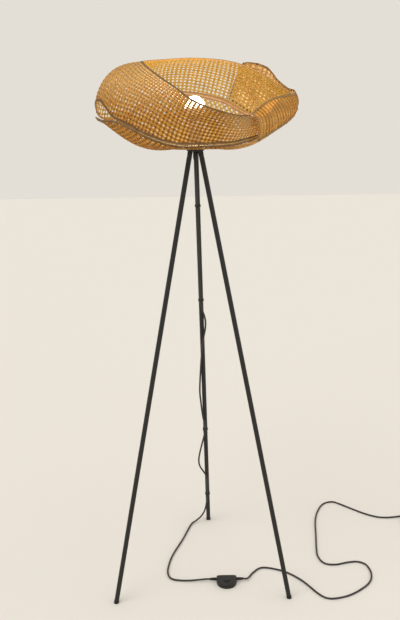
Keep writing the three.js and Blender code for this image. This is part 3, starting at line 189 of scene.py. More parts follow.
def cordMaterial():
    # PVC-sheathed flex: black, slightly soft to the eye, with a faint moulded grain
    material, tree, surface = newMaterial("blackPvcCord")
    place = addNode(tree, "ShaderNodeTexCoord")
    grain = addNode(tree, "ShaderNodeTexNoise", {}, {
        "Vector": place.outputs["Object"], "Scale": cordLook["grain"], "Detail": cordLook["detail"]})
    tone = addNode(tree, "ShaderNodeMix", {"data_type": "RGBA"}, {
        "Factor": grain.outputs["Fac"], 6: hexToLinear(cordLook["dark"]), 7: hexToLinear(cordLook["pale"])})
    bump = addNode(tree, "ShaderNodeBump", {}, {
        "Height": grain.outputs["Fac"], "Strength": cordLook["bump"], "Distance": cordLook["bumpHeight"]})
    tree.links.new(tone.outputs[2], surface.inputs["Base Color"])
    tree.links.new(bump.outputs["Normal"], surface.inputs["Normal"])
    surface.inputs["Roughness"].default_value = cordLook["roughness"]
    surface.inputs["IOR"].default_value = cordLook["ior"]
    return material


blackPvcCord = cordMaterial()


def makeCord(name, points):
    # a Bezier curve whose handles keep it on the smooth curve through the points
    points = toRow(points)
    curve = bpy.data.curves.new(name, "CURVE")
    curve.dimensions = "3D"
    curve.bevel_depth = cordSizes["radius"] / 1000
    curve.bevel_resolution = cordSizes["sideSteps"]
    curve.resolution_u = cordSizes["curveSteps"]
    curve.use_fill_caps = True
    curve.materials.append(blackPvcCord)
    spline = curve.splines.new("BEZIER")
    spline.bezier_points.add(len(points) - 1)
    for k, (knot, point) in enumerate(zip(spline.bezier_points, points)):
        before = points[k - 1] if k else 2 * points[0] - points[1]
        after = points[k + 1] if k + 1 < len(points) else 2 * points[-1] - points[-2]
        knot.handle_left_type = knot.handle_right_type = "FREE"
        knot.co = point
        knot.handle_left = point - (after - before) / 6
        knot.handle_right = point + (after - before) / 6
    obj = addObject(name, curve)
    knots = np.array([list(b.co) for b in spline.bezier_points])
    fine = throughPoints(knots, np.linspace(0, 1, len(knots) * cordSizes["measureSteps"]), False)
    return obj, float(np.linalg.norm(np.diff(fine, axis=0), axis=1).sum())


def middleMm(corners, axis):
    return (corners[0][axis] + corners[1][axis]) * 500  # half the sum, from metres to millimetres


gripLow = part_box("cord_grip")[0].z * 1000
reliefIn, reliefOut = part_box("strain_relief_in"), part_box("strain_relief_out")
gapMm, straight = cordSizes["gap"], cordSizes["straight"]
lane = middleMm(reliefIn, 1) - standMm[1]
level = middleMm(reliefIn, 2)
cordIn = (reliefIn[0].x * 1000 - standMm[0] - gapMm, lane, level)
cordOut = (reliefOut[1].x * 1000 - standMm[0] + gapMm, lane, level)
exitPoint = (0.0, 0.0, gripLow - gapMm)
dropPoints = [exitPoint, (0, 0, exitPoint[2] - straight), *dropPlaces, (cordIn[0] - straight, lane, level), cordIn]
allTurns = cordSizes["lowTurns"] + cordSizes["climbTurns"] + cordSizes["highTurns"]
coilPoints = [coilPoint(t) for t in np.linspace(0, allTurns, int(allTurns * cordSizes["coilSteps"]) + 1)]
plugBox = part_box("plug_body")
plugEnd = (middleMm(plugBox, 0) - standMm[0], plugBox[1].y * 1000 - standMm[1] + gapMm, middleMm(plugBox, 2))
near, leave, arrive = cordSizes["near"], cordSizes["leave"], cordSizes["arrive"]
coilStart = coilPoints[0]
coilEnd = (coilPoints[-1][0], coilPoints[-1][1] - near, coilPoints[-1][2])
runPoints = [
    cordOut, (cordOut[0] + straight, lane, level), *runPlaces,
    (coilStart[0] - arrive, coilStart[1], coilStart[2]), (coilStart[0] - near, coilStart[1], coilStart[2]),
    *coilPoints,
    coilEnd, (coilEnd[0], coilEnd[1] - leave, coilEnd[2]),
    (coilEnd[0], (coilEnd[1] + near + plugEnd[1]) / 2, cordSizes["radius"] + cordSizes["floorLift"]),
    (plugEnd[0], plugEnd[1] + leave, plugEnd[2]), plugEnd,
]
dropCord, dropLength = makeCord("cordDrop", dropPoints)
runCord, runLength = makeCord("cordRun", runPoints)
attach(dropCord, "lamp")
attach(runCord, "lamp")
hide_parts("cord_drop")
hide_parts("cord_run", "cord_coil", "cord_end")
print(f"cords made: {dropLength:.3f} m and {runLength:.3f} m")


# the shade in millimetres; its edges are shares of half its width, half its depth and its height above the hub
shade = {"width": 300.0, "depth": 250.0, "height": 250.0, "hubTop": 1434.0, "rodRadius": 2.0, "gap": 0.3,
         "sheet": 2.4, "clamp": 28.0, "hole": 7.4, "rise": 11.0, "sideSag": 43.0, "belly": 0.46, "clampRings": 5,
         "reachSteps": 201, "heightSteps": 41, "bandSteps": 401, "wrapSteps": 161, "rimSteps": 241, "bowlSteps": 60}
# handles: share of reach, share of rise
bowlRibShares = {"side": (0.59, 0.25), "front": (0.97, -0.17), "rear": (1.0, 0.3)}
rimShares = [
    (0.925, -0.08, 0.3), (0.895, 0.46, 0.28), (0.59, 0.82, 0.295), (0.29, 0.96, 0.475),
    (-0.095, 1.02, 0.57), (-0.425, 0.92, 0.525), (-0.725, 0.54, 0.305), (-0.915, 0.12, 0.29),
    (-0.945, -0.14, 0.35), (-0.865, -0.38, 0.325), (-0.755, -0.58, 0.335), (-0.605, -0.76, 0.275),
    (-0.4, -0.9, 0.16), (-0.17, -0.96, 0.08), (0.09, -0.96, 0.075), (0.38, -0.86, 0.09),
    (0.7, -0.54, 0.18),
]
topShares = [
    (0.92, 0, 0.58), (0.845, 0.28, 0.66), (0.655, 0.46, 0.825), (0.37, 0.54, 0.95),
    (0.005, 0.54, 0.995), (-0.3, 0.42, 0.98), (-0.44, 0.22, 0.965), (-0.49, 0.06, 0.955),
    (-0.485, -0.06, 0.95), (-0.455, -0.18, 0.91), (-0.39, -0.3, 0.85), (-0.305, -0.4, 0.775),
    (-0.165, -0.52, 0.665), (-0.005, -0.58, 0.525), (0.265, -0.62, 0.405), (0.515, -0.56, 0.365),
    (0.735, -0.3, 0.505),
]
liftShares = [0, 0, 0, 0, 0, 0, 0, 0.017, 0.128, 0.184, 0.022, 0, 0, 0, 0, 0, 0]
bandSwells = [0.032, 0.048, 0.08, 0.096, 0.104, 0.104, 0.112, 0.128, 0.144, 0.152, 0.136, 0.12, 0.104, 0.088, 0.08,
              0.056, 0.04]
wrapLowShares = [
    (0.55, -0.85, 0.105), (0.8, -0.42, 0.23), (0.95, -0.1, 0.33), (1.01, 0.18, 0.42),
    (1.01, 0.42, 0.365), (0.945, 0.66, 0.3), (0.77, 0.86, 0.295), (0.565, 0.98, 0.355),
    (0.44, 1.02, 0.44), (0.365, 1.02, 0.505),
]
wrapHighShares = [
    (0.505, -0.67, 0.375), (0.695, -0.4, 0.52), (0.875, -0.16, 0.565), (0.97, 0.04, 0.58),
    (0.985, 0.32, 0.615), (0.945, 0.52, 0.63), (0.845, 0.68, 0.74), (0.76, 0.76, 0.875),
    (0.625, 0.76, 0.935), (0.5, 0.71, 0.94),
]
wrapSwells = [0.088, 0.056, 0.04, 0.024, 0.024, 0.032, 0.04, 0.048, 0.048, 0.048]


def shadePoints(shares):
    return np.array(shares) * [shade["width"], shade["depth"], shade["height"]] + [0, 0, shade["hubTop"]]


def unit(vectors):
    return vectors / np.maximum(np.linalg.norm(vectors, axis=-1, keepdims=True), 1e-12)


class Sheet:
    # a lower and an upper edge, with a middle line that swells outwards
    def __init__(self, low, high, swells, closed):
        centres = (low + high) / 2
        if closed:
            run = np.roll(centres, -1, 0) - np.roll(centres, 1, 0)
        else:
            run = np.array([centres[min(k + 1, len(low) - 1)] - centres[max(k - 1, 0)] for k in range(len(low))])
        out = unit(np.cross(run, high - low))
        out[(out[:, :2] * centres[:, :2]).sum(1) < 0] *= -1
        self.low, self.high, self.closed = low, high, closed
        self.middle = centres + out * np.array(swells)[:, None]
        places = np.linspace(0, 1, shade["reachSteps"])
        line = throughPoints(self.middle, places, closed)
        self.places = places
        self.reach = np.concatenate([[0], np.cumsum(np.linalg.norm(np.diff(line, axis=0), axis=1))])

    def place(self, share):
        return np.interp(np.asarray(share) * self.reach[-1], self.reach, self.places)

    def grid(self, shares, heights):
        places = self.place(shares)
        low, middle, high = (throughPoints(p, places, self.closed) for p in (self.low, self.middle, self.high))
        handle = 2 * middle - (low + high) / 2
        h = np.asarray(heights)[None, :, None]
        return low[:, None] * (1 - h) ** 2 + 2 * handle[:, None] * h * (1 - h) + high[:, None] * h ** 2


rimPoints = shadePoints(rimShares)
slope = unit(np.roll(rimPoints, -1, 0) - np.roll(rimPoints, 1, 0))[:, 2]
bandLow = rimPoints.copy()
bandLow[:, 2] += (2 * shade["rodRadius"] + 2 * shade["gap"]) / np.sqrt(1 - slope ** 2)
bandLow[:, 2] += np.array(liftShares) * shade["height"]
band = Sheet(bandLow, shadePoints(topShares), [s * shade["height"] for s in bandSwells], True)
wrap = Sheet(shadePoints(wrapLowShares), shadePoints(wrapHighShares), [s * shade["height"] for s in wrapSwells], False)


def bowlGrid(rim, steps):
    # ribs from the clamped middle out to the rim
    clampHeight = shade["hubTop"] + shade["gap"] + shade["sheet"] / 2
    angle = np.arctan2(rim[:, 1], rim[:, 0])
    reach = np.hypot(rim[:, 0], rim[:, 1])
    sag = shade["sideSag"] * np.cos(angle) ** 2 - shade["rise"]
    rise = rim[:, 2] - clampHeight
    turned = np.abs(np.sin(angle))[:, None]
    ends = np.where(rim[:, 1:2] > 0, bowlRibShares["rear"], bowlRibShares["front"])
    handle = bowlRibShares["side"] + (ends - bowlRibShares["side"]) * turned

    def around(radius, height):
        return np.stack([radius * np.cos(angle), radius * np.sin(angle), height + 0 * angle], 1)
    start = around(shade["clamp"], clampHeight)
    belly = around(shade["clamp"] + (reach - shade["clamp"]) * shade["belly"], clampHeight - sag)
    shoulder = around(reach * handle[:, 0], clampHeight + rise * handle[:, 1])
    t = np.linspace(0, 1, steps)[None, :, None]
    ribs = (start[:, None] * (1 - t) ** 3 + 3 * belly[:, None] * t * (1 - t) ** 2
            + 3 * shoulder[:, None] * t ** 2 * (1 - t) + rim[:, None] * t ** 3)
    middle = [around(r, clampHeight) for r in np.linspace(shade["hole"], shade["clamp"], shade["clampRings"])[:-1]]
    return np.concatenate([np.stack(middle, 1), ribs], 1), angle


# the weave, lengths in millimetres; a hem is the flat strip that binds the cut ends along an edge
weave = {"pitch": 12.7, "widthShare": 0.48, "stripThickness": 1.1, "lift": 0.75, "steps": 4, "shift": 0.45, "seed": 7,
         "hem": 5.0, "hemThickness": 2.6, "hemTone": 0.3, "endSides": 8, "bowlTurn": -18}
# each strip starts as five rows of a flat grid, which fold round the four corners of its section and close it
stripGrid = {"rows": 5.0, "share": 0.2, "nudge": 0.02, "join": 0.25, "inset": 0.0005, "weld": 0.00002, "family": 31.0,
             "drift": 5.0, "near": 0.8}


def sheetObject(name, grid, uv, counts, closed, spacing):
    # a fine carrier mesh with the weave's own coordinates, as shares of the strip counts, and the two strip directions
    rows, columns = grid.shape[:2]
    runU = np.gradient(grid, axis=0)
    if closed:
        runU[0] = runU[-1] = grid[1] - grid[-2]
    runV = np.gradient(grid, axis=1)
    normal = unit(np.cross(runU, runV))
    mesh = bpy.data.meshes.new(name)
    faces = [(i * columns + k, (i + 1) * columns + k, (i + 1) * columns + k + 1, i * columns + k + 1)
             for i in range(rows - 1) for k in range(columns - 1)]
    mesh.from_pydata([tuple(p) for p in toRow(grid.reshape(-1, 3))], [], faces)
    # directions of growing u and growing v on the surface, from the map's own slopes
    uvGrid = uv.reshape(rows, columns, 2)
    duv = [np.gradient(uvGrid, axis=0), np.gradient(uvGrid, axis=1)]
    if closed == "seam":
        duv[0][0] = duv[0][-1] = uvGrid[1] - uvGrid[0]
    det = duv[0][..., 0] * duv[1][..., 1] - duv[0][..., 1] * duv[1][..., 0]
    det = np.where(np.abs(det) < 1e-12, 1e-12, det)[..., None]
    alongU = unit((runU * duv[1][..., 1:2] - runV * duv[0][..., 1:2]) / det)
    alongV = unit((runV * duv[0][..., 0:1] - runU * duv[1][..., 0:1]) / det)
    spacing = np.broadcast_to(np.asarray(spacing, float), grid.shape)
    for key, field in (("alongU", alongU), ("alongV", alongV), ("sheetOut", normal), ("stripSpacing", spacing / 1000)):
        attribute = mesh.attributes.new(key, "FLOAT_VECTOR", "POINT")
        attribute.data.foreach_set("vector", np.ascontiguousarray(field.reshape(-1, 3), np.float32).ravel())
    layer = mesh.uv_layers.new(name="weaveMap")
    order = np.array([mesh.loops[i].vertex_index for i in range(len(mesh.loops))])
    layer.data.foreach_set("uv", np.ascontiguousarray((uv.reshape(-1, 2) / counts)[order], np.float32).ravel())
    return addObject(name, mesh)


def weaveTree():
    tree = bpy.data.node_groups.new("wovenStrips", "GeometryNodeTree")
    for name, kind, value in (
        ("Sheet", "Geometry", None), ("Strips along u", "Int", 10), ("Strips along v", "Int", 10),
        ("Steps per crossing", "Int", 4), ("Width share of u strips", "Float", 0.5),
        ("Width share of v strips", "Float", 0.5), ("Thickness", "Float", 0.001), ("Weave height", "Float", 0.001),
        ("Layer step", "Float", 0.0), ("Tone step", "Float", 0.0), ("Wander", "Float", 0.0005), ("Seed", "Int", 1),
        ("Strip material", "Material", None),
    ):
        socket = tree.interface.new_socket(name, in_out="INPUT", socket_type="NodeSocket" + kind)
        if value is not None:
            socket.default_value = value
    tree.interface.new_socket("Strips", in_out="OUTPUT", socket_type="NodeSocketGeometry")
    given = addNode(tree, "NodeGroupInput").outputs
    families = []
    for turned, countName, reachName, widthName, runName in (
        (0, "Strips along u", "Strips along v", "Width share of u strips", "alongU"),
        (1, "Strips along v", "Strips along u", "Width share of v strips", "alongV"),
    ):
        lengthSteps = addNode(tree, sums, times, {0: given[reachName], 1: given["Steps per crossing"]})
        lengthCount = addNode(tree, sums, plus, {0: lengthSteps, 1: 1.0})
        cornerCount = addNode(tree, sums, times, {0: given[countName], 1: stripGrid["rows"]})
        cornerSteps = addNode(tree, sums, {"operation": "SUBTRACT"}, {0: cornerCount, 1: 1.0})
        flat = addNode(tree, "GeometryNodeMeshGrid", {}, {
            "Size X": lengthSteps, "Size Y": cornerSteps, "Vertices X": lengthCount, "Vertices Y": cornerCount})
        spot = addNode(tree, "ShaderNodeSeparateXYZ", {}, {0: addNode(tree, "GeometryNodeInputPosition")})
        fromStart = addNode(tree, sums, timesPlus, {0: lengthSteps, 1: 0.5, 2: spot.outputs["X"]})
        along = addNode(tree, sums, {"operation": "DIVIDE"}, {0: fromStart, 1: given["Steps per crossing"]})
        halfCorners = addNode(tree, sums, timesPlus, {0: cornerSteps, 1: 0.5, 2: spot.outputs["Y"]})
        row = addNode(tree, sums, {"operation": "ROUND"}, {0: halfCorners})
        fifth = addNode(tree, sums, timesPlus, {0: row, 1: stripGrid["share"], 2: stripGrid["nudge"]})
        strip = addNode(tree, sums, {"operation": "FLOOR"}, {0: fifth})
        corner = addNode(tree, sums, timesPlus, {0: strip, 1: -stripGrid["rows"], 2: row})
        outer = addNode(tree, sums, {"operation": "COMPARE"}, {0: corner, 1: 2.5, 2: stripGrid["near"]})
        kept = flat.outputs["Mesh"]
        for key, value in (("stripNumber", strip), ("stripAlong", along), ("stripCorner", corner), ("stripOuter", outer)):
            kept = addNode(tree, "GeometryNodeStoreNamedAttribute", {"data_type": "FLOAT", "domain": "POINT"}, {
                "Geometry": kept, "Name": key, "Value": value})
        number, alongKept, cornerKept = (
            addNode(tree, "GeometryNodeInputNamedAttribute", {"data_type": "FLOAT"}, {"Name": key}).outputs[0]
            for key in ("stripNumber", "stripAlong", "stripCorner"))
        # faces that join one strip to the next have a strip number between two whole ones
        part = addNode(tree, sums, {"operation": "FRACT"}, {0: number})
        between = addNode(tree, "FunctionNodeCompare", {"data_type": "FLOAT", "operation": "GREATER_THAN"}, {
            0: part, 1: stripGrid["join"]})
        single = addNode(tree, "GeometryNodeDeleteGeometry", {"domain": "FACE", "mode": "ALL"}, {
            "Geometry": kept, "Selection": between})
        seeded = addNode(tree, sums, plus, {0: given["Seed"], 1: stripGrid["family"] * turned})
        tone = addNode(tree, "FunctionNodeRandomValue", {"data_type": "FLOAT"}, {"ID": number, "Seed": seeded})
        stepped = addNode(tree, sums, timesPlus, {0: given["Tone step"], 1: 0.5 - turned, 2: tone.outputs[1]})
        toned = addNode(tree, "GeometryNodeStoreNamedAttribute", {"data_type": "FLOAT", "domain": "POINT"}, {
            "Geometry": single, "Name": "stripTone", "Value": stepped})
        # where the strip's middle line lies on the sheet
        inside = addNode(tree, sums, plus, {0: number, 1: 0.5})
        runLimit = addNode(tree, sums, {"operation": "SUBTRACT"}, {0: given[reachName], 1: stripGrid["inset"]})
        runHeld = addNode(tree, sums, {"operation": "MINIMUM"}, {0: alongKept, 1: runLimit})
        runKept = addNode(tree, sums, {"operation": "MAXIMUM"}, {0: runHeld, 1: stripGrid["inset"]})
        runShare = addNode(tree, sums, {"operation": "DIVIDE"}, {0: runKept, 1: given[reachName]})
        rowShare = addNode(tree, sums, {"operation": "DIVIDE"}, {0: inside, 1: given[countName]})
        pair = (runShare, rowShare)
        lookUp = addNode(tree, "ShaderNodeCombineXYZ", {}, {0: pair[turned], 1: pair[1 - turned]})
        layer = addNode(tree, "GeometryNodeInputNamedAttribute", {"data_type": "FLOAT_VECTOR"}, {"Name": "weaveMap"})
        sampled = {}
        for key, source in (("place", None), ("out", "sheetOut"), ("run", runName), ("spacing", "stripSpacing")):
            if source is None:
                value = addNode(tree, "GeometryNodeInputPosition")
            else:
                value = addNode(tree, "GeometryNodeInputNamedAttribute", {"data_type": "FLOAT_VECTOR"}, {
                    "Name": source})
            sampled[key] = addNode(tree, "GeometryNodeSampleUVSurface", {"data_type": "FLOAT_VECTOR"}, {
                "Mesh": given["Sheet"], "Value": value, "UV Map": layer, "Sample UV": lookUp})
        # over and under at each crossing
        wave = addNode(tree, sums, {"operation": "SINE"}, {0: addNode(tree, sums, times, {0: alongKept, 1: math.pi})})
        halved = addNode(tree, sums, times, {0: number, 1: 0.5})
        odd = addNode(tree, sums, {"operation": "FRACT"}, {0: halved})
        sign = addNode(tree, sums, timesPlus, {0: odd, 1: -4.0 + 8.0 * turned, 2: 1.0 - 2.0 * turned})
        over = addNode(tree, sums, times, {0: wave, 1: sign})
        raised = addNode(tree, sums, times, {0: over, 1: given["Weave height"]})
        # the four corners of the strip's section
        fromSide = addNode(tree, sums, {"operation": "COMPARE"}, {0: cornerKept, 1: 1.5, 2: stripGrid["near"]})
        fromFace = addNode(tree, sums, {"operation": "COMPARE"}, {0: cornerKept, 1: 2.5, 2: stripGrid["near"]})
        side = addNode(tree, sums, {"operation": "SUBTRACT"}, {0: fromSide, 1: 0.5})
        face = addNode(tree, sums, {"operation": "SUBTRACT"}, {0: fromFace, 1: 0.5})
        spacing = addNode(tree, "ShaderNodeSeparateXYZ", {}, {0: sampled["spacing"]})
        width = addNode(tree, sums, times, {0: spacing.outputs[1 - turned], 1: given[widthName]})
        wide = addNode(tree, sums, times, {0: side, 1: width})
        driftSeed = addNode(tree, sums, plus, {0: seeded, 1: stripGrid["drift"]})
        drift = addNode(tree, "FunctionNodeRandomValue", {"data_type": "FLOAT"}, {
            2: -1.0, 3: 1.0, "ID": number, "Seed": driftSeed})
        aside = addNode(tree, sums, timesPlus, {0: drift.outputs[1], 1: given["Wander"], 2: wide})
        layered = addNode(tree, sums, timesPlus, {0: given["Layer step"], 1: turned - 0.5, 2: raised})
        thick = addNode(tree, sums, timesPlus, {0: face, 1: given["Thickness"], 2: layered})
        across = addNode(tree, vectorSums, {"operation": "CROSS_PRODUCT"}, {0: sampled["out"], 1: sampled["run"]})
        acrossUnit = addNode(tree, vectorSums, {"operation": "NORMALIZE"}, {0: across})
        outUnit = addNode(tree, vectorSums, {"operation": "NORMALIZE"}, {0: sampled["out"]})
        stepAcross = addNode(tree, vectorSums, {"operation": "SCALE"}, {0: acrossUnit, "Scale": aside})
        stepOut = addNode(tree, vectorSums, {"operation": "SCALE"}, {0: outUnit, "Scale": thick})
        moved = addNode(tree, vectorSums, {"operation": "ADD"}, {0: sampled["place"], 1: stepAcross})
        final = addNode(tree, vectorSums, {"operation": "ADD"}, {0: moved, 1: stepOut})
        off = addNode(tree, "FunctionNodeBooleanMath", {"operation": "NOT"}, {0: sampled["place"].outputs["Is Valid"]})
        trimmed = addNode(tree, "GeometryNodeDeleteGeometry", {"domain": "POINT", "mode": "ALL"}, {
            "Geometry": toned, "Selection": off})
        laid = addNode(tree, "GeometryNodeSetPosition", {}, {"Geometry": trimmed, "Position": final})
        closedUp = addNode(tree, "GeometryNodeMergeByDistance", {}, {"Geometry": laid, "Distance": stripGrid["weld"]})
        families.append(closedUp.outputs[0])
    joined = addNode(tree, "GeometryNodeJoinGeometry")
    for family in families:
        tree.links.new(family, joined.inputs[0])
    real = addNode(tree, "GeometryNodeRealizeInstances", {}, {0: joined})
    finished = addNode(tree, "GeometryNodeSetMaterial", {}, {"Geometry": real, "Material": given["Strip material"]})
    addNode(tree, "NodeGroupOutput", {}, {0: finished})
    return tree


strips = weaveTree()
plainLook = {"detail": 4.0, "bump": 0.2}


def plainMaterial(name, dark, pale, roughness, metallic, scale, bumpHeight):
    # one surface with a faint grain: two close tones, and a bump whose height is in metres
    material, tree, surface = newMaterial(name)
    place = addNode(tree, "ShaderNodeTexCoord")
    grain = addNode(tree, "ShaderNodeTexNoise", {}, {
        "Vector": place.outputs["Object"], "Scale": scale, "Detail": plainLook["detail"]})
    tone = addNode(tree, "ShaderNodeMix", {"data_type": "RGBA"}, {
        "Factor": grain.outputs["Fac"], 6: hexToLinear(dark), 7: hexToLinear(pale)})
    bump = addNode(tree, "ShaderNodeBump", {}, {
        "Height": grain.outputs["Fac"], "Strength": plainLook["bump"], "Distance": bumpHeight})
    tree.links.new(tone.outputs[2], surface.inputs["Base Color"])
    tree.links.new(bump.outputs["Normal"], surface.inputs["Normal"])
    surface.inputs["Roughness"].default_value = roughness
    surface.inputs["Metallic"].default_value = metallic
    return material


# flat rattan strips that bind the sheets' edges: dark on band and bowl, paler on the wrap
bindings = {
    "dark": plainMaterial("darkBindingRattan", "523614", "745024", 0.6, 0.0, 220.0, 0.0003),
    "pale": plainMaterial("paleBindingRattan", "8a6838", "ab8850", 0.6, 0.0, 220.0, 0.0003),
}


def hemPoints(grid, edge):
    # a flat strip along one edge of a sheet, which binds the cut ends: four corners of its section at each rib
    ribs = grid if edge == 0 else grid[:, ::-1]
    reach = np.concatenate([np.zeros((len(ribs), 1)), np.cumsum(np.linalg.norm(np.diff(ribs, axis=1), axis=2), 1)], 1)
    inner = np.array([[np.interp(weave["hem"], row, rib[:, k]) for k in range(3)] for row, rib in zip(reach, ribs)])
    outer = ribs[:, 0]
    out = unit(np.cross(np.gradient(outer, axis=0), (inner - outer) * (1 if edge == 0 else -1)))
    half = out * weave["hemThickness"] / 2
    return np.stack([outer - half, inner - half, inner + half, outer + half], 1)


def addHem(solid, corners):
    closed = np.allclose(corners[0], corners[-1], atol=0.01)
    rings = [[solid.verts.new(toRow(point)) for point in ring] for ring in (corners[:-1] if closed else corners)]
    pairs = zip(rings, rings[1:] + rings[:1]) if closed else zip(rings, rings[1:])
    for one, two in pairs:
        for k in range(4):
            solid.faces.new([one[k], two[k], two[(k + 1) % 4], one[(k + 1) % 4]])
    if not closed:
        solid.faces.new(rings[0][::-1])
        solid.faces.new(rings[-1])


def weaveSheet(name, carrier, node, counts, material, widths, hems, lift=weave["lift"], step=0.0, toneStep=0.0,
               binding="dark"):
    # lays the strips on the carrier sheet, closes their ends and binds the given edges; widths are shares of the spacing
    modifier = carrier.modifiers.new("weave", "NODES")
    modifier.node_group = strips
    values = {
        "Strips along u": counts[1], "Strips along v": counts[0], "Steps per crossing": weave["steps"],
        "Width share of u strips": widths[0], "Width share of v strips": widths[1],
        "Thickness": weave["stripThickness"] / 1000, "Weave height": lift / 1000, "Layer step": step / 1000,
        "Tone step": toneStep, "Wander": weave["shift"] / 1000, "Seed": weave["seed"], "Strip material": material,
    }
    for item in strips.interface.items_tree:
        if item.in_out == "INPUT" and item.name in values:
            modifier[item.identifier] = values[item.name]
    bpy.context.view_layer.update()
    shown = carrier.evaluated_get(bpy.context.evaluated_depsgraph_get())
    mesh = bpy.data.meshes.new_from_object(shown)
    mesh.name = name
    solid = bmesh.new()
    solid.from_mesh(mesh)
    bmesh.ops.holes_fill(solid, edges=[e for e in solid.edges if e.is_boundary], sides=weave["endSides"])  # strip ends
    wovenCount = len(solid.verts)
    for corners in hems:
        addHem(solid, corners)
    solid.verts.ensure_lookup_table()
    solid.faces.ensure_lookup_table()
    hemFaces = {face for vert in solid.verts[wovenCount:] for face in vert.link_faces}
    for face in hemFaces:
        face.material_index = len(mesh.materials)
    bmesh.ops.recalc_face_normals(solid, faces=list(hemFaces))
    for key, value in (("stripOuter", 1.0), ("stripTone", weave["hemTone"])):
        layer = solid.verts.layers.float.get(key)
        for vert in solid.verts[wovenCount:]:
            vert[layer] = value
    solid.to_mesh(mesh)
    solid.free()
    mesh.materials.append(bindings[binding])
    obj = addObject(name, mesh)
    bpy.data.objects.remove(carrier)
    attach(obj, "lamp")
    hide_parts(node)
    print(f"{name}: {len(mesh.polygons)} faces")
    return obj


# the strips' colours outside (skin) and inside (pith), the light they let through, and how strongly the painted light
# below is laid on
# the dark skin colours are partly rattan skin's own tone and partly painted shade on the shade's outer faces
rattan = {"skinDark": "432c08", "skinPale": "745422", "pithDark": "6f602e", "pithPale": "988b4e", "through": "f8d26c",
          "throughShare": 0.44, "paintedLightWeight": 1.0}
thinRattan = {"skinDark": "7a5014", "skinPale": "e0ba6a", "pithDark": "d8c08a", "pithPale": "f6e8c0", "through": "fcdc80",
              "throughShare": 0.5, "paintedLightWeight": 0.1}
# painted light: the photograph's strips are paler towards the top and on the right from its light; here that light is
# painted into the skin's colour, by height and by place from left to right in metres
paintedLight = {"low": 1.53, "high": 1.62, "top": 0.8, "near": 0.05, "far": 0.16, "side": 0.9, "colour": "cdb884"}
rattanLook = {
    "blotch": 26.0, "blotchDetail": 4.0, "fibre": 700.0, "fibreDetail": 2.0, "toneShare": 0.45, "toneStart": -0.1,
    "blotchShare": 0.8, "bump": 0.25, "bumpHeight": 0.0004, "roughness": 0.55, "ior": 1.5,
}


def rattanMaterial(name, rattan):
    # split rattan: a silky brown skin outside, a paler dry pith inside, thin enough to glow when lit from behind;
    # the skin's darkness is partly its own colour and partly painted shade; the fibres are drawn coarser than real
    # ones, so that they show
    material, tree, surface = newMaterial(name)
    out = tree.nodes["Material Output"]
    place = addNode(tree, "ShaderNodeTexCoord")
    tone = addNode(tree, "ShaderNodeAttribute", {"attribute_name": "stripTone"})
    skin = addNode(tree, "ShaderNodeAttribute", {"attribute_name": "stripOuter"})
    blotch = addNode(tree, "ShaderNodeTexNoise", {}, {
        "Vector": place.outputs["Object"], "Scale": rattanLook["blotch"], "Detail": rattanLook["blotchDetail"]})
    fibre = addNode(tree, "ShaderNodeTexNoise", {}, {
        "Vector": place.outputs["Object"], "Scale": rattanLook["fibre"], "Detail": rattanLook["fibreDetail"]})
    mixed = addNode(tree, sums, timesPlus, {
        0: tone.outputs["Fac"], 1: rattanLook["toneShare"], 2: rattanLook["toneStart"]})
    mixed = addNode(tree, sums, {"operation": "MULTIPLY_ADD", "use_clamp": True}, {
        0: blotch.outputs["Fac"], 1: rattanLook["blotchShare"], 2: mixed})
    skinColour = addNode(tree, "ShaderNodeMix", {"data_type": "RGBA"}, {
        "Factor": mixed, 6: hexToLinear(rattan["skinDark"]), 7: hexToLinear(rattan["skinPale"])})
    pithColour = addNode(tree, "ShaderNodeMix", {"data_type": "RGBA"}, {
        "Factor": mixed, 6: hexToLinear(rattan["pithDark"]), 7: hexToLinear(rattan["pithPale"])})
    # painted light: the skin is mixed towards a pale colour higher up and further to the right, where light falls
    spot = addNode(tree, "ShaderNodeSeparateXYZ", {}, {0: place.outputs["Object"]})
    high = addNode(tree, "ShaderNodeMapRange", {}, {
        "Value": spot.outputs["Z"], "From Min": paintedLight["low"], "From Max": paintedLight["high"], "To Max": paintedLight["top"]})
    right = addNode(tree, "ShaderNodeMapRange", {}, {
        "Value": spot.outputs["X"], "From Min": paintedLight["near"], "From Max": paintedLight["far"], "To Max": paintedLight["side"]})
    paintedLightMask = addNode(tree, sums, {"operation": "MAXIMUM"}, {0: high, 1: right})
    paintedLightMask = addNode(tree, sums, times, {0: paintedLightMask, 1: rattan["paintedLightWeight"]})
    skinWithPaintedLight = addNode(tree, "ShaderNodeMix", {"data_type": "RGBA"}, {
        "Factor": paintedLightMask, 6: skinColour.outputs[2], 7: hexToLinear(paintedLight["colour"])})
    # outer faces take the skin, its darkness partly painted shade; inner faces and edges take the paler pith
    colour = addNode(tree, "ShaderNodeMix", {"data_type": "RGBA"}, {
        "Factor": skin.outputs["Fac"], 6: pithColour.outputs[2], 7: skinWithPaintedLight.outputs[2]})
    bump = addNode(tree, "ShaderNodeBump", {}, {
        "Height": fibre.outputs["Fac"], "Strength": rattanLook["bump"], "Distance": rattanLook["bumpHeight"]})
    tree.links.new(colour.outputs[2], surface.inputs["Base Color"])
    tree.links.new(bump.outputs["Normal"], surface.inputs["Normal"])
    surface.inputs["Roughness"].default_value = rattanLook["roughness"]
    surface.inputs["IOR"].default_value = rattanLook["ior"]
    through = addNode(tree, "ShaderNodeBsdfTranslucent", {}, {"Color": hexToLinear(rattan["through"])})
    both = addNode(tree, "ShaderNodeMixShader", {}, {0: rattan["throughShare"], 1: surface, 2: through})
    tree.links.new(both.outputs[0], out.inputs["Surface"])
    return material


splitRattan = rattanMaterial("splitRattan", rattan)
# the wrap's strips are taken as shaved thinner, so they glow more
shavedRattan = rattanMaterial("shavedRattan", thinRattan)

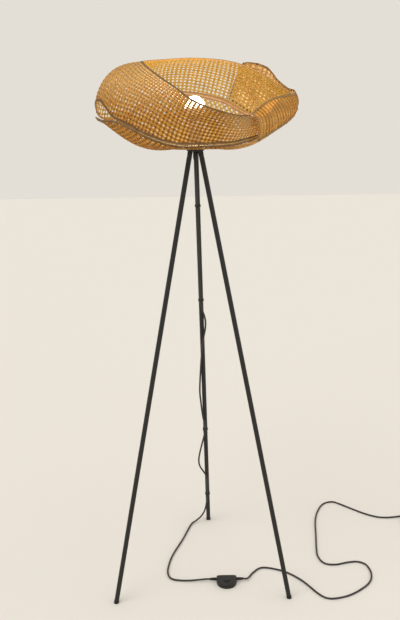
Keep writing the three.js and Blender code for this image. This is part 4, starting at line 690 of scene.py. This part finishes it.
# spacing of the strips across the ribs and along them, at each of the band's ribs in turn, in millimetres
bandAcross = [11.0, 13.0, 13.8, 13.8, 13.8, 13.4, 12.4, 11.0, 10.0, 9.9, 9.9, 10.2, 11.0, 11.8, 11.4, 9.8, 9.6]
bandAlong = [9.8, 10.6, 10.6, 10.2, 10.2, 10.4, 10.8, 11.6, 12.2, 12.2, 11.8, 11.0, 10.4, 10.2, 9.8, 9.0, 8.9]


def ribMap(grid, shares, sheet, across, along, closed):
    # u counts strips along the sheet, v counts them down each rib from its upper edge
    count = len(across)
    knots = np.arange(count + 1) / count if closed else np.arange(count) / (count - 1)
    knotShares = np.interp(knots, sheet.places, sheet.reach) / sheet.reach[-1]
    ends = [0] if closed else []
    acrossHere = np.interp(shares, knotShares, np.array(across + [across[k] for k in ends]))
    alongHere = np.interp(shares, knotShares, np.array(along + [along[k] for k in ends]))
    steps = np.diff(shares) * sheet.reach[-1] * 2 / (acrossHere[1:] + acrossHere[:-1])
    u = np.concatenate([[0], np.cumsum(steps)])
    countU = 2 * round(u[-1] / 2)
    u *= countU / u[-1]
    down = np.linalg.norm(np.diff(grid, axis=1), axis=2)[:, ::-1]
    v = np.concatenate([np.zeros((len(grid), 1)), np.cumsum(down, 1)], 1)[:, ::-1] / alongHere[:, None]
    countV = int(np.ceil(v.max()))
    spacing = np.stack([acrossHere, alongHere, 0 * shares], -1)[:, None]
    return np.stack([u[:, None] + 0 * v, v], -1), countU, countV, spacing


heights = np.linspace(0, 1, shade["heightSteps"])
shares = np.linspace(0, 1, shade["bandSteps"])
grid = band.grid(shares, heights)
uv, countU, countV, spacing = ribMap(grid, shares, band, bandAcross, bandAlong, True)
print("band strips", countU, countV)
evenWidths = (weave["widthShare"], weave["widthShare"])
carrier = sheetObject("bandCarrier", grid, uv, (countU, countV), "seam", spacing)
weaveSheet("wovenBand", carrier, "woven_band", (countU, countV), splitRattan, evenWidths,
           [hemPoints(grid, 0), hemPoints(grid, -1)])

# the wrap: narrow dark ribs bound over wide flat pale strips, which is a guess from its look; spacing in millimetres
wrapSpacing = {"ribs": 15.3, "rows": 12.0, "ribShare": 0.34, "rowShare": 1.0, "lift": 0.0, "step": 1.5, "toneStep": 1.5}
shares = np.linspace(0, 1, shade["wrapSteps"])
grid = wrap.grid(shares, heights)
ribs = len(wrapLowShares)
across, down = ([wrapSpacing[key]] * ribs for key in ("ribs", "rows"))
uv, countU, countV, spacing = ribMap(grid, shares, wrap, across, down, False)
print("wrap strips", countU, countV)
carrier = sheetObject("wrapCarrier", grid, uv, (countU, countV), False, spacing)
weaveSheet("wovenWrap", carrier, "woven_wrap", (countU, countV), shavedRattan,
           (wrapSpacing["rowShare"], wrapSpacing["ribShare"]), [hemPoints(grid, 0), hemPoints(grid, -1)],
           wrapSpacing["lift"], wrapSpacing["step"], wrapSpacing["toneStep"], "pale")

bowlTurn = math.radians(weave["bowlTurn"])
shares = np.linspace(0, 1, shade["rimSteps"])
rim = throughPoints(rimPoints, band.place(shares), True)
grid, angle = bowlGrid(rim, shade["bowlSteps"])
lengths = np.concatenate([np.zeros((len(grid), 1)), np.cumsum(np.linalg.norm(np.diff(grid, axis=1), axis=2), 1)], 1)
reach = (lengths + shade["hole"]) / weave["pitch"]
half = int(np.ceil(reach.max()))
uv = np.stack([half + reach * np.cos(angle + bowlTurn)[:, None], half + reach * np.sin(angle + bowlTurn)[:, None]], -1)
counts = (2 * half, 2 * half)
carrier = sheetObject("bowlCarrier", grid, uv, counts, "ring", (weave["pitch"], weave["pitch"], 0))
weaveSheet("wovenBowl", carrier, "woven_bowl", counts, splitRattan, evenWidths, [hemPoints(grid, -1)])

# the bulb: dome's height and blend in metres, wall and neck in millimetres, the glass arc and the sharp edge in degrees
bulb = {"dome": 1.549, "blend": 0.008, "domeGlow": 9.0, "lowGlow": 0.1, "watts": 4.7, "colour": "ffe9c4", "wall": 1.0,
        "neck": 11.9, "arc": (-52, 90), "arcSteps": 28, "sides": 48, "sharp": 35, "softShare": 0.4,
        "glass": "fff3dd", "glow": "fff0d6", "roughness": 0.25}


def turnedMesh(name, outline, sides, material):
    # an outline of (radius, height) in metres turned about the stand's axis; it starts and ends on the axis
    shape = bmesh.new()
    rings = []
    for radius, height in outline:
        if radius < 1e-6:
            rings.append([shape.verts.new((stand.x, stand.y, height))])
        else:
            turns = [2 * math.pi * k / sides for k in range(sides)]
            rings.append([
                shape.verts.new((stand.x + radius * math.cos(a), stand.y + radius * math.sin(a), height)) for a in turns])
    for low, high in zip(rings, rings[1:]):
        for k in range(sides):
            corners = [low[k % len(low)], low[(k + 1) % len(low)], high[(k + 1) % len(high)], high[k % len(high)]]
            shape.faces.new(list(dict.fromkeys(corners)))
    bmesh.ops.recalc_face_normals(shape, faces=shape.faces[:])
    mesh = bpy.data.meshes.new(name)
    shape.to_mesh(mesh)
    shape.free()
    mesh.materials.append(material)
    mesh.shade_smooth()
    mesh.set_sharp_from_angle(angle=math.radians(bulb["sharp"]))
    return addObject(name, mesh)


def litGlass():
    # opal glass with the lamp on: the dome glares, the part nearer the cap is only a warm white
    material, tree, surface = newMaterial("litOpalGlass")
    surface.inputs["Base Color"].default_value = hexToLinear(bulb["glass"])
    surface.inputs["Roughness"].default_value = bulb["roughness"]
    surface.inputs["Emission Color"].default_value = hexToLinear(bulb["glow"])
    place = addNode(tree, "ShaderNodeTexCoord")
    height = addNode(tree, "ShaderNodeSeparateXYZ", {}, {0: place.outputs["Object"]})
    lit = addNode(tree, "ShaderNodeMapRange", {}, {
        "Value": height.outputs["Z"], "From Min": bulb["dome"] - bulb["blend"], "From Max": bulb["dome"],
        "To Min": bulb["lowGlow"], "To Max": bulb["domeGlow"]})
    tree.links.new(lit.outputs[0], surface.inputs["Emission Strength"])
    return material


litOpal = litGlass()
glassLow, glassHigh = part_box("bulb_glass")
glassRadius = (glassHigh.x - glassLow.x) / 2
glassCentre = glassHigh.z - glassRadius
wall = bulb["wall"] / 1000
arc = [math.radians(a) for a in np.linspace(*bulb["arc"], bulb["arcSteps"])]
bulbOutline = [(glassRadius * math.cos(a), glassCentre + glassRadius * math.sin(a)) for a in arc[:-1]]
bulbOutline.append((0.0, glassHigh.z))
bulbInside = [(max(r - wall, 0.0), z - (wall if r < 1e-6 else 0)) for r, z in bulbOutline]
bulbGlass = turnedMesh("bulbGlass", bulbInside[::-1] + bulbOutline, bulb["sides"], litOpal)
bulbGlass.visible_shadow = False  # opal glass passes the light of the lamp inside it
neckOutline = [(0.0, glassLow.z), (bulb["neck"] / 1000, glassLow.z), bulbOutline[0], (0.0, bulbOutline[0][1])]
# the collar below the dome: a warm white plastic painted a mid grey, as painted shade that reads grey against the glare
collar = plainMaterial("paintedShadeCollar", "8f877a", "a39b8d", 0.5, 0.0, 600.0, 0.0001)
bulbNeck = turnedMesh("bulbNeck", neckOutline, bulb["sides"], collar)
for obj in (bulbGlass, bulbNeck):
    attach(obj, "lamp")
    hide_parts("bulb_glass")
lampInside = bpy.data.lights.new("bulbLight", "POINT")
lampInside.energy = bulb["watts"]
lampInside.color = hexToLinear(bulb["colour"])[:3]
lampInside.shadow_soft_size = glassRadius * bulb["softShare"]
bulbLight = addObject("bulbLight", lampInside)
bulbLight.location = (stand.x, stand.y, glassCentre)
bulbLight.visible_camera = False
print("bulb made")

# name, two close tones, roughness, metallic, grain scale, bump height in metres
finishes = {
    # powder coat on steel tube: deep black with an even, fine-grained sheen
    "black_steel": plainMaterial("blackPowderCoat", "090908", "11100f", 0.5, 0.0, 1500.0, 0.0002),
    # moulded nylon: black, a little smoother than the powder coat
    "black_plastic": plainMaterial("blackMouldedNylon", "0b0b0a", "131211", 0.48, 0.0, 1200.0, 0.0001),
    # soft rubber: black and nearly without shine
    "black_rubber": plainMaterial("blackRubber", "0b0b0b", "131212", 0.75, 0.0, 900.0, 0.0002),
    # zinc-plated steel: pale bluish metal
    "zinc_steel": plainMaterial("zincPlatedSteel", "a6a9ad", "c3c5c8", 0.35, 1.0, 400.0, 0.0001),
    # nickel-plated brass: pale warm metal, smoother than zinc
    "nickel_brass": plainMaterial("nickelPlatedBrass", "b9b3a4", "d2ccbd", 0.25, 1.0, 400.0, 0.0001),
    # bare brass: yellow metal
    "brass": plainMaterial("bareBrass", "a88643", "c9a861", 0.3, 1.0, 400.0, 0.0001),
    # whole rattan rod: brown dry skin
    "rattan_rod": plainMaterial("darkRattanRod", "7a582a", "9a7438", 0.6, 0.0, 180.0, 0.0004),
    # thin rattan lace: darker and duller than the rods
    "rattan_lace": plainMaterial("darkRattanLace", "6a4a26", "8a6534", 0.65, 0.0, 300.0, 0.0003),
    # moulded polyester of the lampholder and contact block: warm white
    "white_plastic": plainMaterial("whitePbtPlastic", "cfc8ba", "dfd9cd", 0.5, 0.0, 600.0, 0.0001),
    "rattan_strip": splitRattan,
    "opal_glass": litOpal,
}
for row in frame["record"]["subparts"]:
    mesh = nodes[row["node"]].data
    mesh.materials.clear()
    mesh.materials.append(finishes[row["material_slot"]])
print("materials given")

# the switch's spring: a coil of wire in millimetres, as tall as the part it stands in for
spring = {"turns": 2.5, "wire": 0.28, "stepsPerTurn": 24, "sides": 8, "keep": 0.42}
springLow, springHigh = (corner * 1000 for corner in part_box("switch_spring"))
springMiddle = (springLow + springHigh) / 2
springRadius = (springHigh.x - springLow.x) / 2 - spring["wire"]
springPoints, springFaces = [], []
springSteps = round(spring["turns"] * spring["stepsPerTurn"])
for k in range(springSteps + 1):
    turn = 2 * math.pi * k / spring["stepsPerTurn"]
    height = springLow.z + spring["wire"] + (springHigh.z - springLow.z - 2 * spring["wire"]) * k / springSteps
    for side in range(spring["sides"]):
        about = 2 * math.pi * side / spring["sides"]
        radius = springRadius + spring["wire"] * math.cos(about)
        springPoints.append((springMiddle.x + radius * math.cos(turn), springMiddle.y + radius * math.sin(turn),
                             height + spring["wire"] * math.sin(about)))
        if k < springSteps:
            one, two = k * spring["sides"] + side, k * spring["sides"] + (side + 1) % spring["sides"]
            springFaces.append((one, one + spring["sides"], two + spring["sides"], two))
lastRing = springSteps * spring["sides"]
springFaces += [tuple(range(spring["sides"])), tuple(range(lastRing, lastRing + spring["sides"]))[::-1]]
springMetres = [[c / 1000 for c in point] for point in springPoints]
switchSpring = meshObject("switchSpring", springMetres, springFaces, finishes["zinc_steel"])
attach(switchSpring, "lamp")
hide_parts("switch_spring")
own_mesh(switchSpring)
print("spring made")

# a plain pale room: the floor in metres, the world's light, and two broad suns with their spread in degrees
room = {"floor": "eeeae3", "wall": "e4dfd6", "skyColour": "fbf6ee", "sky": 0.7, "half": 9, "drop": -0.0005}
suns = {"keySun": {"from": (-2.2, -2.0, 3.2), "power": 0.9, "spread": 50},
        "fillSun": {"from": (2.6, -1.4, 2.4), "power": 0.45, "spread": 80}}
floorMaterial = plainMaterial("paleFloor", room["floor"], room["floor"], 0.9, 0.0, 3.0, 0.0)
corners = [(x * room["half"], y * room["half"], room["drop"]) for x, y in ((-1, -1), (1, -1), (1, 1), (-1, 1))]
floor = meshObject("floor", corners, [(0, 1, 2, 3)], floorMaterial)
world = bpy.data.worlds.new("studio")
bpy.context.scene.world = world
world.use_nodes = True
tree = world.node_tree
tree.nodes.clear()
path = addNode(tree, "ShaderNodeLightPath")
light = addNode(tree, "ShaderNodeBackground", {}, {"Color": hexToLinear(room["skyColour"]), "Strength": room["sky"]})
seen = addNode(tree, "ShaderNodeBackground", {}, {"Color": hexToLinear(room["wall"]), "Strength": 1.0})
pick = addNode(tree, sums, {"operation": "MAXIMUM"}, {0: path.outputs["Is Camera Ray"], 1: path.outputs["Is Glossy Ray"]})
pick = addNode(tree, sums, {"operation": "MAXIMUM"}, {0: pick, 1: path.outputs["Is Transmission Ray"]})
mixed = addNode(tree, "ShaderNodeMixShader", {}, {0: pick, 1: light, 2: seen})
addNode(tree, "ShaderNodeOutputWorld", {}, {0: mixed})
for name, sun in suns.items():
    data = bpy.data.lights.new(name, "SUN")
    data.energy = sun["power"]
    data.angle = math.radians(sun["spread"])
    lamp = addObject(name, data)
    lamp.rotation_euler = (-Vector(sun["from"])).to_track_quat("-Z", "Y").to_euler()
bpy.context.scene.view_settings.view_transform = "Standard"
print("light set")
